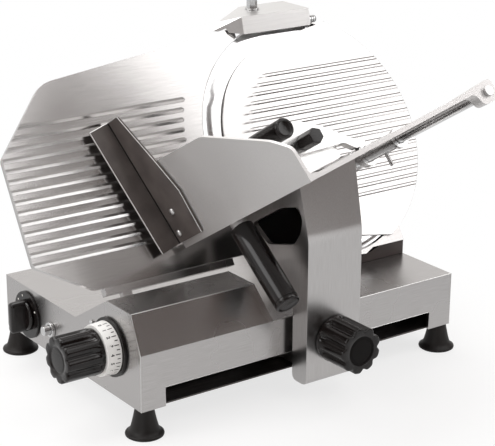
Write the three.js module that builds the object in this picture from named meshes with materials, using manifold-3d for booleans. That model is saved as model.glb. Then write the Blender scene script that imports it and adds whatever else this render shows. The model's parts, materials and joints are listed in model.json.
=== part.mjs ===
// Electric gravity-feed meat slicer with a slanted blade, in millimetres, +Z up.
// X is the way the carriage travels, +Y leads to the back of the machine, and the
// operator stands on the -X side, facing the thickness knob.
import * as THREE from 'three';
import { mergeVertices } from 'three/addons/utils/BufferGeometryUtils.js';
import { ConvexGeometry } from 'three/addons/geometries/ConvexGeometry.js';
import Module from 'manifold-3d';

const wasm = await Module();
wasm.setup();

// Clearances shared by all pieces
const seat_gap = 0.3;
const running_gap = 0.4;
const cut_overrun = 5;
const screw_head_rise = 2.4;

// Base housing, with the ridge that carries the thickness dial
const base_length = 440;
const base_width = 302;
const base_height = 65;
const base_wall = 4;
const ridge_rise = 42;
const ridge_chamfer_run = 17.5;
const ridge_top_run = 49.5;
const ridge_length = 160;
const ridge_end_run = 14;
const notch_start = 31;
const notch_end_margin = 33;
const notch_height = 22.5;
const bottom_plate_thickness = 2;

// Feet
const foot_height = 31;
const foot_radius = 21.5;
const foot_neck_radius = 10.5;
const foot_inset = 10;
const foot_rim_height = 4;
const foot_taper_height = 12;
const foot_taper_radius = 14;

// Blade, in a plane that leans back and meets the base top at blade_foot_y
const blade_tilt_deg = 31;
const blade_foot_y = 77;
const blade_from_end = 88;
const blade_radius = 150;
const blade_base_gap = 21;
const blade_thickness = 3.4;
const blade_edge_thickness = 0.6;
const blade_bevel_run = 12;
const blade_band_run = 28;
const blade_recess = 2.4;
const blade_seat_width = 15;
const blade_x = base_length - blade_from_end;
const blade_u = blade_radius + blade_base_gap;
const blade_top = blade_u + blade_radius;

// Blade cover
const cover_inset = 24;
const cover_overhang = 7;
const cover_thickness = 2.6;
const cover_gap = 0.8;
const cover_shoulder_run = 70;
const cover_rib_pitch = 10.5;
const cover_rib_width = 4.6;
const cover_rib_rise = 1;
const cover_rib_start_inset = 53;
const cover_top_rib_inset = 66;

// Gauge plate, outlined in the blade plane
const gauge_left = -57;
const gauge_bottom = 48.5;
const gauge_foot_x = 8;
const gauge_lower_left = 88;
const gauge_upper_left = 211;
const gauge_shoulder_x = 15;
const gauge_shoulder = 289;
const gauge_right_inset = 62;
const gauge_top_rise = 0.5;
const gauge_corner = 14;
const gauge_small_corner = 3;
const gauge_thickness = 6;
const gauge_blade_gap = 1.2;
const gauge_right = blade_x - gauge_right_inset;
const gauge_top_right = blade_top + gauge_top_rise;
const gauge_travel = 15;
const rib_count = 14;
const rib_first = 89;
const rib_pitch = 11.92;
const rib_radius = 4.2;
const rib_rise = 1.5;
const rib_right_inset = 24;

// Gauge carrier and its guide inside the ridge
const carrier_x = 44;
const carrier_width = 26;
const carrier_bar_start = 18;
const carrier_bar_end = 190;
const carrier_bar_height = 8.6;
const carrier_bar_depth = 10;
const carrier_tongue_width = 12;
const carrier_tongue_depth = 8;
const guide_u = 12;
const guide_radius = 6;
const guide_block_height = 22;
const guide_block_start = -17;
const guide_block_end = 13;
const guide_boss_depth = 8;
const guide_back = -48;
const guide_front = 22;
const guide_boss_width = 20;

// Thickness dial
const dial_y = 60;
const dial_z = 56;
const dial_shaft_radius = 5;
const dial_bezel_radius = 33.5;
const dial_bezel_depth = 3;
const dial_drum_radius = 30;
const dial_drum_nose_radius = 28.6;
const dial_drum_depth = 17;
const dial_knob_radius = 26;
const dial_knob_length = 46;
const dial_turn_deg = 300;
const cam_x = 20.5;
const cam_depth = 7;
const cam_radius = 12;
const cam_step = 5;
const cam_gap = 0.6;
const follower_width = 8;
const follower_depth = 8.5;
const marker_y = 99;
const marker_z = 71;
const marker_radius = 3.2;
const face_screw_y = 97;
const face_screw_z = 11;
const face_screw_radius = 2.8;

// Rotary switch and push-button on the same face
const switch_from_back = 53;
const switch_z = 31;
const switch_plate_radius = 28.5;
const switch_plate_depth = 2.6;
const switch_disc_radius = 18;
const switch_disc_depth = 4;
const switch_grip_height = 39;
const switch_grip_width = 13;
const switch_grip_depth = 17;
const switch_stem_radius = 4;
const switch_box_size = 44;
const switch_box_depth = 38;
const button_from_switch = 56;
const button_z = 31;
const button_ring_radius = 9;
const button_ring_depth = 4;
const button_cap_radius = 5.6;
const button_cap_depth = 8;
const button_stem_radius = 3;
const button_travel = 3;
const button_box_radius = 9.5;
const button_box_depth = 24;
const switch_y = base_width - switch_from_back;
const button_y = switch_y - button_from_switch;

// Carriage guide inside the base
const guide_rod_y = 42;
const guide_rod_z = 14;
const guide_rod_radius = 6;
const carriage_block_depth = 24;
const carriage_block_bottom = 3.4;
const carriage_block_top = 24;
const bush_wall = 1.8;
const bush_length = 12;
const rail_y = 84;
const rail_width = 16;
const rail_bottom = 2.6;
const rail_thickness = 3.4;
const roller_radius = 7.5;
const roller_width = 8;
const roller_pin_radius = 3;

// Column that carries the tray
const column_x = 195;
const column_width = 75;
const column_front = -34;
const column_back = -8;
const column_bottom = -7;
const column_bend_z = 165;
const column_lean_deg = 14;
const column_flare = 4;
const column_wall = 6;
const column_web_start_z = 97;
const column_web_y = 84;
const column_web_z = 160;
const column_top_reach = 300;
const column_toe_radius = 8;
const foot_arm_width = 55;
const foot_arm_bottom = 5;
const foot_arm_top = 19;
const window_front_wall = 11;
const window_sill_z = 140;
const window_length = 93;
const window_height = 59;
const window_shares = [
  [1, 0.288], [0.4, 0.847], [0.075, 1], [0, 0.797], [0.032, 0.508], [0.161, 0.22], [0.677, 0],
];
const window_depth = 14;
const window_corner = 6;
const carriage_block_inset = 2;
const foot_arm_inset = 10;
const roller_arm_width = 26;
const roller_arm_bottom = 8;
const column_knob_z = 43;
const column_knob_inset = 39;
const column_knob_radius = 27;
const column_knob_length = 48;
const column_stud_radius = 4;

// Product tray: a V of floor and wall, turned in the blade plane about its corner
const tray_corner_reach = 65.2;
const tray_u = 70.9;
const floor_rise_deg = 13;
const wall_lean_deg = 16.5;
const tray_near = 12;
const tray_far = 277;
const floor_width = 250;
const floor_thickness = 5.5;
const wall_thickness = 4;
const wall_outer_height = 39;
const wall_height = 101;
const wall_edge_shares = [[0.554, 0.902], [0.965, 0.521], [1, 0.162]];
const tray_corner_radius = 6;
const tray_x = column_x - tray_corner_reach;

// Hand guard
const guard_thickness = 2.6;
const guard_near = 8;
const guard_flange = 29;
const guard_bottom = 8;
const guard_top = 166;
const guard_reach = 58;
const guard_edge_shares = [[0, 0.931], [0.329, 1], [0.595, 0.793], [1, 0.448]];
const guard_corner = 3;
const rivet_radius = 3.4;
const rivet_rise = 1.6;
const rivet_stem_radius = 1.8;
const rivet_shares = [[0.225, 0.397], [0.068, 0.219]];

// Handle under the tray that pushes the carriage
const push_handle_radius = 14.5;
const push_handle_length = 108;
const push_handle_inset = 30.2;
const push_handle_reach = 78;
const push_handle_pitch_deg = 23;
const push_handle_end_round = 3;
const push_boss_radius = 10;
const push_boss_length = 10;
const push_handle_x = tray_x + push_handle_inset;

// Meat press: rod, slider, arm, spiked plate, handle and knob
const press_rod_x = 267.4;
const press_rod_y = -3.9;
const press_rod_radius = 7;
const press_ear_depth = 14;
const press_ear_radius = 12.5;
const press_ear_root = 22;
const press_ear_blend = 7;
const ear_near_start = 10;
const ear_near_end = 18;
const press_bolt_shank_radius = 3.5;
const press_bolt_radius = 5.8;
const press_bolt_rise = 4;
const slider_start = 20;
const slider_end = 112;
const slider_radius = 10.2;
const slider_collar_radius = 12.6;
const slider_collar_width = 6;
const slider_pin_radius = 2.4;
const slider_pin_reach = 26;
const slider_pin_n = 76;
const arm_start = 37.3;
const arm_depth = 11;
const arm_hub_radius = 15;
const plate_start = 31;
const spike_length = 8;
const spike_root = 3;
const spike_radius = 2.6;
const spike_rows = 2;
const spike_columns = 7;
const spike_first_x = 32;
const spike_first_y = 15;
const spike_pitch = 22;
const spike_row_pitch = 18;
const arm_corner = 4;
const arm_left = 92;
const arm_bottom = 8;
const arm_length = 180;
const arm_height = 68;
const arm_shares = [
  [1, 0.059], [0.928, 0.147], [0.711, 0.676], [0.489, 0.971], [0.044, 1],
  [0, 0.765], [0.044, 0.412], [0.428, 0.382], [0.828, 0.206], [0.906, 0],
];
const press_plate_left = 20;
const press_plate_bottom = 8;
const press_plate_length = 216;
const press_plate_height = 62;
const press_plate_shares = [
  [0, 0], [1, 0], [1, 0.597], [0.856, 1], [0.764, 1], [0.648, 0.677], [0, 0.677],
];
const press_handle_x = 112;
const press_handle_y = 66;
const press_handle_radius = 12.2;
const press_handle_length = 80;
const press_knob_x = 187;
const press_knob_y = 44;
const press_knob_radius = 10.6;
const press_knob_length = 28;

// Blade housing, shaft, pulleys, belt and motor
const housing_front = -12;
const housing_back = -26;
const housing_inset = 5;
const ring_overhang = 8;
const ring_blade_gap = 1.6;
const ring_start_deg = -112;
const ring_end_deg = 77;
const housing_foot_inset = 52;
const housing_foot_bottom = 21;
const housing_foot_top = 62;
const pedestal_front = 89;
const pedestal_back = 168;
const pedestal_top = 150;
const hub_flange_radius = 34;
const shaft_radius = 9;
const shaft_bore_radius = 4.6;
const bearing_radius = 16;
const bearing_width = 8;
const hub_radius = 24;
const hub_back = -44;
const pulley_radius = 50;
const pulley_front = -48;
const pulley_back = -62;
const belt_thickness = 2.4;
const pulley_distance = 95;
const motor_pulley_radius = 16;
const motor_plate_front = -65;
const motor_plate_thickness = 4;
const motor_plate_length = 128;
const motor_plate_height = 44;
const motor_radius = 46;
const motor_length = 92;
const motor_shaft_radius = 6;
const motor_post_radius = 6;
const motor_post_spread = 58;
const motor_post_rise = 14;
const shell_wall = 3;
const pulley_cover_radius = 72;
const pulley_cover_depth = 50;
const motor_cover_radius = 58;
const motor_cover_depth = 92;
const motor_opening_margin = 4;
const motor_opening_front = 128;
const motor_opening_back = 268;
const vent_count = 5;
const vent_pitch = 14;
const vent_width = 5;
const vent_length = 44;
const tie_rod_radius = 3.6;
const tie_knob_radius = 15;
const tie_knob_depth = 18;
const housing_radius = blade_radius - housing_inset;
const ring_outer_radius = blade_radius + ring_overhang;
const housing_foot_start = blade_x - housing_foot_inset;
const motor_u = blade_u - pulley_distance;

// Sharpener on top of the blade, its corners in the blade frame
const sharpener_left_reach = 57;
const sharpener_right_reach = 45;
const sharpener_lap = 12.5;
const sharpener_height = 20;
const sharpener_front = 15;
const sharpener_chin = 9;
const sharpener_depth = 54;
const sharpener_back_inset = 34;
const sharpener_wing_reach = 30.5;
const sharpener_wing_rise = 14.5;
const sharpener_wing_step = 10.5;
const sharpener_wing_height = 10;
const sharpener_wing_n = -8;
const sharpener_skirt = 9;
const sharpener_wall = 2.5;
const post_from_blade = 18;
const post_back = 33;
const post_radius = 4.5;
const post_depth = 49.3;
const sharpener_boss_depth = 18;
const lug_half_width = 14;
const lug_drop = 23.5;
const lug_rise = 13.5;
const sharpener_knob_radius = 6.6;
const sharpener_knob_height = 12;
const sharpener_washer_radius = 8.6;
const sharpener_washer_height = 2;
const stone_from_blade = 16;
const stone_rise = 24.5;
const stone_radius = 6.5;
const stone_start = -18;
const stone_width = 6;
const stone_pin_radius = 2;
const stone_button_rise = 8.5;
const stone_button_n = 5;
const stone_button_radius = 4.6;
const stone_button_length = 11;
const sharpener_left = blade_x - sharpener_left_reach;
const sharpener_right = blade_x + sharpener_right_reach;
const sharpener_bottom = blade_top - sharpener_lap;
const sharpener_brow = sharpener_bottom + sharpener_height;
const post_x = blade_x - post_from_blade;
const stone_x = blade_x + stone_from_blade;
const stone_u = sharpener_bottom + stone_rise;

// Numbers of sides on round pieces
const fine_sides = 60;
const round_sides = 28;
const small_sides = 14;

const { degToRad } = THREE.MathUtils;
const tilt = degToRad(blade_tilt_deg);
const quarter_turn = Math.PI / 2;
const full_turn = 2 * Math.PI;
const unit_x = new THREE.Vector3(1, 0, 0);
const unit_y = new THREE.Vector3(0, 1, 0);
const unit_z = new THREE.Vector3(0, 0, 1);

// Finishes
const finish = (color, roughness, metalness) =>
  new THREE.MeshStandardMaterial({ color, roughness, metalness });
const satin_aluminium = finish(0xb9b7b6, 0.42, 0.9);
const polished_aluminium = finish(0xd0cfce, 0.22, 1);
const blade_steel = finish(0xe2e2e2, 0.12, 1);
const bright_steel = finish(0xcfcfcf, 0.2, 1);
const black_plastic = finish(0x1c1918, 0.45, 0);
const black_rubber = finish(0x171413, 0.7, 0);
const white_plastic = finish(0xe9e9e6, 0.5, 0);
const dark_steel = finish(0x55504f, 0.5, 0.8);
const bronze = finish(0xa8834f, 0.4, 1);
const stone_grey = finish(0x8f8b84, 0.95, 0);
const motor_paint = finish(0x3f4144, 0.6, 0.2);

// Solids: every helper returns a BufferGeometry
function toManifold(geometry) {
  const bare = geometry.clone();
  bare.deleteAttribute('normal');
  bare.deleteAttribute('uv');
  const merged = mergeVertices(bare);
  const mesh = new wasm.Mesh({
    numProp: 3,
    vertProperties: Float32Array.from(merged.attributes.position.array),
    triVerts: Uint32Array.from(merged.index.array),
  });
  return new wasm.Manifold(mesh);
}

function toGeometry(manifold) {
  const mesh = manifold.getMesh();
  const geometry = new THREE.BufferGeometry();
  geometry.setAttribute('position', new THREE.BufferAttribute(Float32Array.from(mesh.vertProperties), 3));
  geometry.setIndex(new THREE.BufferAttribute(Uint32Array.from(mesh.triVerts), 1));
  geometry.computeVertexNormals();
  return geometry;
}

function join(...geometries) {
  return toGeometry(geometries.map(toManifold).reduce((whole, piece) => whole.add(piece)));
}

function cut(geometry, ...tools) {
  const solid = toManifold(geometry);
  return toGeometry(tools.map(toManifold).reduce((rest, tool) => rest.subtract(tool), solid));
}

function common(first, second) {
  return toGeometry(toManifold(first).intersect(toManifold(second)));
}

function at(geometry, x, y, z) {
  return geometry.clone().translate(x, y, z);
}

// Turns a geometry made along Z so that it runs along X or Y
function alongX(geometry) {
  return geometry.clone().applyMatrix4(new THREE.Matrix4().makeBasis(unit_y, unit_z, unit_x));
}

function alongY(geometry) {
  return geometry.clone().applyMatrix4(new THREE.Matrix4().makeBasis(unit_z, unit_x, unit_y));
}

function block([x0, x1], [y0, y1], [z0, z1]) {
  const box = new THREE.BoxGeometry(x1 - x0, y1 - y0, z1 - z0);
  return box.translate((x0 + x1) / 2, (y0 + y1) / 2, (z0 + z1) / 2);
}

function rod(radius, [from, to], sides = round_sides) {
  const cylinder = new THREE.CylinderGeometry(radius, radius, to - from, sides);
  return cylinder.rotateX(quarter_turn).translate(0, 0, (from + to) / 2);
}

// A turned piece about Z; its profile of [radius, z] points closes on itself
function turned(profile, sides = round_sides) {
  const points = profile.map(([radius, z]) => new THREE.Vector2(radius, z));
  if (THREE.ShapeUtils.area(points) < 0) points.reverse();
  points.push(points[0].clone());
  return new THREE.LatheGeometry(points, sides).rotateX(quarter_turn);
}

function ring(inner, outer, [from, to], sides = round_sides) {
  return turned([[inner, from], [outer, from], [outer, to], [inner, to]], sides);
}

// A closed outline of [x, y, corner radius] points, the corners drawn as curves
function outline(corners) {
  const shape = new THREE.Shape();
  corners.forEach(([x, y, radius = 0], index) => {
    const corner = new THREE.Vector2(x, y);
    const [px, py] = corners[(index + corners.length - 1) % corners.length];
    const [nx, ny] = corners[(index + 1) % corners.length];
    const before = new THREE.Vector2(px, py).sub(corner).setLength(radius).add(corner);
    const after = new THREE.Vector2(nx, ny).sub(corner).setLength(radius).add(corner);
    if (index === 0) shape.moveTo(before.x, before.y);
    else shape.lineTo(before.x, before.y);
    if (radius > 0) shape.quadraticCurveTo(corner.x, corner.y, after.x, after.y);
  });
  return shape;
}

function prism(corners, [from, to]) {
  const shape = corners instanceof THREE.Shape ? corners : outline(corners);
  const settings = { depth: to - from, bevelEnabled: false, curveSegments: 3 };
  return new THREE.ExtrudeGeometry(shape, settings).translate(0, 0, from);
}

function hull(points) {
  return new ConvexGeometry(points.map(([x, y, z]) => new THREE.Vector3(x, y, z)));
}

function add(parent, name, geometry, material) {
  const mesh = new THREE.Mesh(geometry, material);
  mesh.name = name;
  parent.add(mesh);
}

// Frames: the slicer stands on its feet; the blade frame has X along the base, Y up
// the blade and Z out to the carriage; the tray frame has X along the tray's floor.
const slicer = new THREE.Group();
const body = new THREE.Group();
body.position.z = foot_height;
slicer.add(body);
const blade_frame = new THREE.Group();
blade_frame.position.set(0, blade_foot_y, base_height);
blade_frame.rotation.x = quarter_turn - tilt;
body.add(blade_frame);
const tray_frame = new THREE.Group();
tray_frame.position.set(tray_x, tray_u, 0);
tray_frame.rotation.z = degToRad(floor_rise_deg);
blade_frame.add(tray_frame);
slicer.updateMatrixWorld(true);

// Moves a geometry between the frames, for pieces that cut or meet each other
function between(geometry, from, to) {
  const matrix = to.matrixWorld.clone().invert().multiply(from.matrixWorld);
  return geometry.clone().applyMatrix4(matrix);
}

function bladePoint(y, z) {
  const dy = y - blade_foot_y;
  const dz = z - base_height;
  return {
    u: dy * Math.sin(tilt) + dz * Math.cos(tilt),
    n: dz * Math.sin(tilt) - dy * Math.cos(tilt),
  };
}

// Base housing: an open-bottomed casting with a raised ridge at the dial end
const ridge_top_y = ridge_chamfer_run + ridge_top_run;
const ridge_foot_y = ridge_top_y + ridge_rise / Math.tan(tilt);
const chamfer_angle = Math.atan2(ridge_rise, ridge_chamfer_run);
const ridge_top = base_height + ridge_rise;
const slope_u = bladePoint(ridge_foot_y, base_height).u;

function ridgeBlock(inset, bottom) {
  const frontY = (z) => (z - base_height) / Math.tan(chamfer_angle) + inset / Math.sin(chamfer_angle);
  const backY = (z) => ridge_foot_y - (z - base_height) / Math.tan(tilt) - inset / Math.sin(tilt);
  const top = ridge_top - inset;
  const foot_end = ridge_length + ridge_end_run - inset;
  const top_end = ridge_length - inset;
  const section = (x, top_x) => [
    [x, inset, bottom], [x, frontY(base_height), base_height], [top_x, frontY(top), top],
    [top_x, backY(top), top], [x, backY(base_height), base_height], [x, backY(base_height), bottom],
  ];
  return hull([...section(inset, inset), ...section(foot_end, top_end)]);
}

function cornerPlaces(inset_x, inset_y) {
  const xs = [inset_x, base_length - inset_x];
  const ys = [inset_y, base_width - inset_y];
  return xs.flatMap((x) => ys.map((y) => [x, y]));
}

const tongue_x = [carrier_x - carrier_tongue_width / 2, carrier_x + carrier_tongue_width / 2];
const gauge_back = -gauge_thickness;

function guideBoss(from, to) {
  const width = [carrier_x - guide_boss_width / 2, carrier_x + guide_boss_width / 2];
  const boss = block(width, [guide_u - guide_boss_width / 2, slope_u - base_wall / 2], [from, to]);
  return between(boss, blade_frame, body);
}

function addBase() {
  const outer = join(
    block([0, base_length], [0, base_width], [0, base_height]),
    ridgeBlock(0, base_height - base_wall),
  );
  const inside_top = base_height - base_wall;
  const inside_x = [base_wall, base_length - base_wall];
  const inner = join(
    block(inside_x, [base_wall, base_width - base_wall], [-cut_overrun, inside_top]),
    ridgeBlock(base_wall, inside_top - base_wall),
  );
  const notch = block(
    [notch_start, base_length - notch_end_margin],
    [-cut_overrun, base_wall + cut_overrun],
    [-cut_overrun, notch_height],
  );
  const slot_ends = [-carrier_tongue_depth - gauge_travel - running_gap, running_gap];
  const slot_x = [tongue_x[0] - running_gap, tongue_x[1] + running_gap];
  const carrier_slot = block(slot_x, [slope_u - 3 * base_wall, slope_u + cut_overrun], slot_ends);
  const motor_reach = motor_radius + motor_opening_margin;
  const motor_hole = block(
    [blade_x - motor_reach, blade_x + motor_reach],
    [motor_opening_front, motor_opening_back],
    [inside_top - cut_overrun, base_height + cut_overrun],
  );
  const wall_hole = (radius, y, z) =>
    at(alongX(rod(radius, [-cut_overrun, base_wall + cut_overrun])), 0, y, z);
  const shell = cut(
    outer, inner, notch, between(carrier_slot, blade_frame, body), motor_hole,
    wall_hole(dial_shaft_radius + running_gap, dial_y, dial_z),
    wall_hole(switch_stem_radius + running_gap, switch_y, switch_z),
    wall_hole(button_stem_radius + running_gap, button_y, button_z),
  );
  const boss_bottom = bottom_plate_thickness + 2 * seat_gap;
  const foot_bosses = cornerPlaces(foot_inset, foot_inset).map(([x, y]) =>
    at(rod(foot_neck_radius, [boss_bottom, notch_height], small_sides), x, y, 0));
  const boss_box = block([0, base_length], [0, base_width], [0, base_height]);
  const bosses = foot_bosses.map((boss) => common(boss, boss_box));
  const rod_boss = (x0, x1) => block(
    [x0, x1],
    [base_wall / 2, guide_rod_y + guide_rod_radius + base_wall],
    [boss_bottom, guide_rod_z + guide_rod_radius + base_wall],
  );
  const rod_hole = at(
    alongX(rod(guide_rod_radius + seat_gap, inside_x)), 0, guide_rod_y, guide_rod_z);
  const rod_ends = cut(
    join(
      rod_boss(base_wall / 2, 2 * base_wall),
      rod_boss(base_length - 2 * base_wall, base_length - base_wall / 2),
    ),
    rod_hole,
  );
  const guide_bosses = join(
    guideBoss(guide_back - guide_boss_depth, guide_back),
    guideBoss(guide_front, guide_front + guide_boss_depth),
  );
  add(body, 'base_housing', join(shell, ...bosses, rod_ends, guide_bosses), satin_aluminium);

  const edge = base_wall + seat_gap;
  const plate = block(
    [edge, base_length - edge], [edge, base_width - edge], [seat_gap, seat_gap + bottom_plate_thickness]);
  add(body, 'bottom_plate', plate, dark_steel);
}

function addFeet() {
  const top = -seat_gap;
  const profile = [
    [0, -foot_height], [foot_radius, -foot_height], [foot_radius, -foot_height + foot_rim_height],
    [foot_taper_radius, -foot_taper_height], [foot_neck_radius, top], [0, top],
  ];
  cornerPlaces(foot_inset, foot_inset).forEach(([x, y], index) => {
    add(body, `foot_${index + 1}`, at(turned(profile), x, y, 0), black_rubber);
  });
}

// Carriage guide: a round rod and a flat rail along the base
function addGuides() {
  const rod_ends = [base_wall + seat_gap, base_length - base_wall - seat_gap];
  const guide = at(alongX(rod(guide_rod_radius, rod_ends)), 0, guide_rod_y, guide_rod_z);
  add(body, 'guide_rod', guide, bright_steel);
  const rail_y_span = [rail_y - rail_width / 2, rail_y + rail_width / 2];
  const rail = block(rod_ends, rail_y_span, [rail_bottom, rail_bottom + rail_thickness]);
  add(body, 'roller_rail', rail, dark_steel);
}

// Thickness dial: bezel, numbered drum, knob, shaft and the spiral cam on its end
const fluted = (radius, lobes, depth_share) => {
  const shape = new THREE.Shape();
  const steps = lobes * 4;
  for (let step = 0; step < steps; step += 1) {
    const angle = (step / steps) * full_turn;
    const wave = Math.abs(Math.sin((angle * lobes) / 2));
    const reach = radius * (1 - depth_share * (1 - wave));
    const place = [reach * Math.cos(angle), reach * Math.sin(angle)];
    if (step === 0) shape.moveTo(...place);
    else shape.lineTo(...place);
  }
  return shape;
};
const flute_share = 0.16;

function addDial() {
  const onDial = (geometry) => at(alongX(geometry), 0, dial_y, dial_z);
  const shaft_hole = dial_shaft_radius + seat_gap;
  const bezel_face = -seat_gap - dial_bezel_depth;
  const drum_back = bezel_face - running_gap;
  const drum_front = drum_back - dial_drum_depth;
  const knob_back = drum_front - seat_gap;
  const knob_front = knob_back - dial_knob_length;
  const bezel = ring(dial_shaft_radius + running_gap, dial_bezel_radius, [bezel_face, -seat_gap]);
  add(body, 'dial_bezel', onDial(bezel), black_plastic);
  const drum = turned([
    [shaft_hole, drum_back], [dial_drum_radius, drum_back], [dial_drum_nose_radius, drum_front],
    [shaft_hole, drum_front],
  ], fine_sides);
  add(body, 'dial_drum', onDial(drum), white_plastic);
  const bore = rod(shaft_hole, [knob_back - dial_knob_length / 2, knob_back + cut_overrun]);
  const knob = cut(prism(fluted(dial_knob_radius, 9, flute_share), [knob_front, knob_back]), bore);
  add(body, 'thickness_knob', onDial(knob), black_plastic);
  const shaft_front = knob_back - dial_knob_length / 2 + seat_gap;
  const shaft = rod(dial_shaft_radius, [shaft_front, cam_x + cam_depth]);
  add(body, 'thickness_shaft', onDial(shaft), bright_steel);

  const spiral = new THREE.Shape();
  const sweep = degToRad(dial_turn_deg);
  const steps = 40;
  const place = (radius, angle) => [radius * Math.cos(angle), radius * Math.sin(angle)];
  const start = -tilt;
  spiral.moveTo(...place(cam_radius, start));
  for (let step = 1; step <= steps; step += 1) {
    const share = step / steps;
    spiral.lineTo(...place(cam_radius + gauge_travel * share, start - sweep * share));
  }
  const rest = full_turn - sweep;
  const rest_steps = 6;
  for (let step = 1; step < rest_steps; step += 1) {
    spiral.lineTo(...place(cam_radius, start - sweep - (rest * step) / rest_steps));
  }
  const cam = cut(prism(spiral, [cam_x, cam_x + cam_depth - seat_gap]), rod(shaft_hole, [0, base_length]));
  add(body, 'thickness_cam', onDial(cam), dark_steel);
  const marker = rod(marker_radius, [-screw_head_rise, -seat_gap], small_sides);
  add(body, 'index_marker', at(alongX(marker), 0, marker_y, marker_z), bright_steel);
  const screw = rod(face_screw_radius, [-screw_head_rise, -seat_gap], small_sides);
  add(body, 'face_screw', at(alongX(screw), 0, face_screw_y, face_screw_z), dark_steel);
}

// Rotary switch and push-button
function addSwitches() {
  const onSwitch = (geometry) => at(alongX(geometry), 0, switch_y, switch_z);
  const plate_face = -seat_gap - switch_plate_depth;
  const plate = ring(switch_stem_radius + running_gap, switch_plate_radius, [plate_face, -seat_gap]);
  add(body, 'switch_plate', onSwitch(plate), black_plastic);
  const disc_back = plate_face - running_gap;
  const disc_front = disc_back - switch_disc_depth;
  const half_width = switch_grip_width / 2;
  const half_height = switch_grip_height / 2;
  const grip_outline = [
    [-half_width, -half_height, half_width], [half_width, -half_height, half_width],
    [half_width, half_height, half_width], [-half_width, half_height, half_width],
  ];
  const knob = join(
    rod(switch_disc_radius, [disc_front, disc_back]),
    prism(grip_outline, [disc_front - switch_grip_depth, disc_back]),
    rod(switch_stem_radius, [disc_back - switch_disc_depth / 2, base_wall], small_sides),
  );
  add(body, 'switch_knob', onSwitch(knob), black_plastic);
  const half_box = switch_box_size / 2;
  const box_front = base_wall + seat_gap;
  const box = block(
    [-half_box, half_box], [-half_box, half_box], [box_front, box_front + switch_box_depth]);
  add(body, 'switch_body', onSwitch(box), black_plastic);

  const onButton = (geometry) => at(alongX(geometry), 0, button_y, button_z);
  const cap_hole = button_cap_radius + running_gap;
  const collar = ring(cap_hole, button_ring_radius, [-button_ring_depth, -seat_gap]);
  add(body, 'button_bezel', onButton(collar), bright_steel);
  const cap_back = -seat_gap - button_travel - running_gap;
  const cap = join(
    rod(button_cap_radius, [cap_back - button_cap_depth, cap_back], small_sides),
    rod(button_stem_radius, [cap_back - button_cap_depth / 2, base_wall], small_sides),
  );
  add(body, 'button_cap', onButton(cap), bright_steel);
  const well = rod(button_stem_radius + running_gap, [0, base_wall + 2 * button_travel], small_sides);
  const contact = cut(rod(button_box_radius, [box_front, box_front + button_box_depth]), well);
  add(body, 'button_switch', onButton(contact), black_plastic);
}

// Gauge plate and the carrier that slides it square to the blade
function addGauge() {
  const edge = [
    [gauge_left, gauge_lower_left, gauge_small_corner], [gauge_left, gauge_upper_left, gauge_small_corner],
    [gauge_shoulder_x, gauge_shoulder, gauge_corner], [gauge_right, gauge_top_right],
    [gauge_right, gauge_bottom], [gauge_foot_x, gauge_bottom, gauge_small_corner],
  ];
  const plate = prism(edge, [gauge_back - rib_rise, -rib_rise]);
  const bite = at(rod(blade_radius + gauge_blade_gap, [gauge_back - cut_overrun, cut_overrun], fine_sides),
    blade_x, blade_u, 0);
  const rib_room = prism(edge, [-rib_rise - gauge_thickness / 2, rib_radius]);
  const ribs = Array.from({ length: rib_count }, (_, index) => {
    const u = rib_first + index * rib_pitch;
    const reach = blade_radius + rib_right_inset;
    const right = blade_x - Math.sqrt(reach ** 2 - (u - blade_u) ** 2) - rib_radius;
    const capsule = new THREE.CapsuleGeometry(rib_radius, right - gauge_left, 2, 8).rotateZ(quarter_turn);
    return common(at(capsule, (gauge_left + right) / 2, u, -rib_radius), rib_room);
  });
  add(blade_frame, 'gauge_plate', join(cut(plate, bite), ...ribs), polished_aluminium);

  const bar_top = gauge_bottom - seat_gap;
  const bar_bottom = bar_top - carrier_bar_height;
  const block_top = guide_u + guide_block_height / 2;
  const block_bottom = guide_u - guide_block_height / 2;
  const cam_axis = bladePoint(dial_y, dial_z);
  const follower_face = cam_axis.n - cam_radius - cam_gap;
  const follower_back = follower_face - follower_depth;
  const follower_u = [cam_axis.u - follower_width / 2, cam_axis.u + follower_width / 2];
  const block_x = [cam_x + cam_depth + cam_step, carrier_x + carrier_width / 2];
  const lug_x = [block_x[0], carrier_x - guide_radius / 2];
  const tongue_u = [block_top - guide_block_height / 4, bar_bottom + seat_gap];
  const carrier = cut(
    join(
      block([carrier_bar_start, carrier_bar_end], [bar_bottom, bar_top], [-carrier_bar_depth, 0]),
      block(tongue_x, tongue_u, [-carrier_tongue_depth, 0]),
      block(block_x, [block_bottom, block_top], [guide_block_start, guide_block_end]),
      block([cam_x, lug_x[1]], follower_u, [follower_back, follower_face]),
      block(lug_x, [follower_u[0], block_bottom + seat_gap], [follower_back, follower_face]),
    ),
    at(rod(guide_radius + running_gap, [guide_back, guide_front]), carrier_x, guide_u, 0),
  );
  add(blade_frame, 'gauge_carrier', carrier, satin_aluminium);
  const guide = rod(guide_radius, [guide_back + seat_gap, guide_front - seat_gap]);
  add(blade_frame, 'gauge_guide_rod', at(guide, carrier_x, guide_u, 0), bright_steel);
}

function circle(x, y, radius, sides) {
  return Array.from({ length: sides }, (_, index) => {
    const angle = (index / sides) * full_turn;
    return [x + radius * Math.cos(angle), y + radius * Math.sin(angle)];
  });
}

// A convex solid around two circles of the blade frame
function aroundTwo([x0, y0, radius0], [x1, y1, radius1], [from, to], sides = round_sides) {
  const rim = [...circle(x0, y0, radius0, sides), ...circle(x1, y1, radius1, sides)];
  return hull(rim.flatMap(([x, y]) => [[x, y, from], [x, y, to]]));
}

function sector(radius, start_deg, end_deg) {
  const shape = new THREE.Shape();
  shape.moveTo(0, 0);
  shape.absarc(0, 0, radius, degToRad(start_deg), degToRad(end_deg), false);
  return shape;
}

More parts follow.
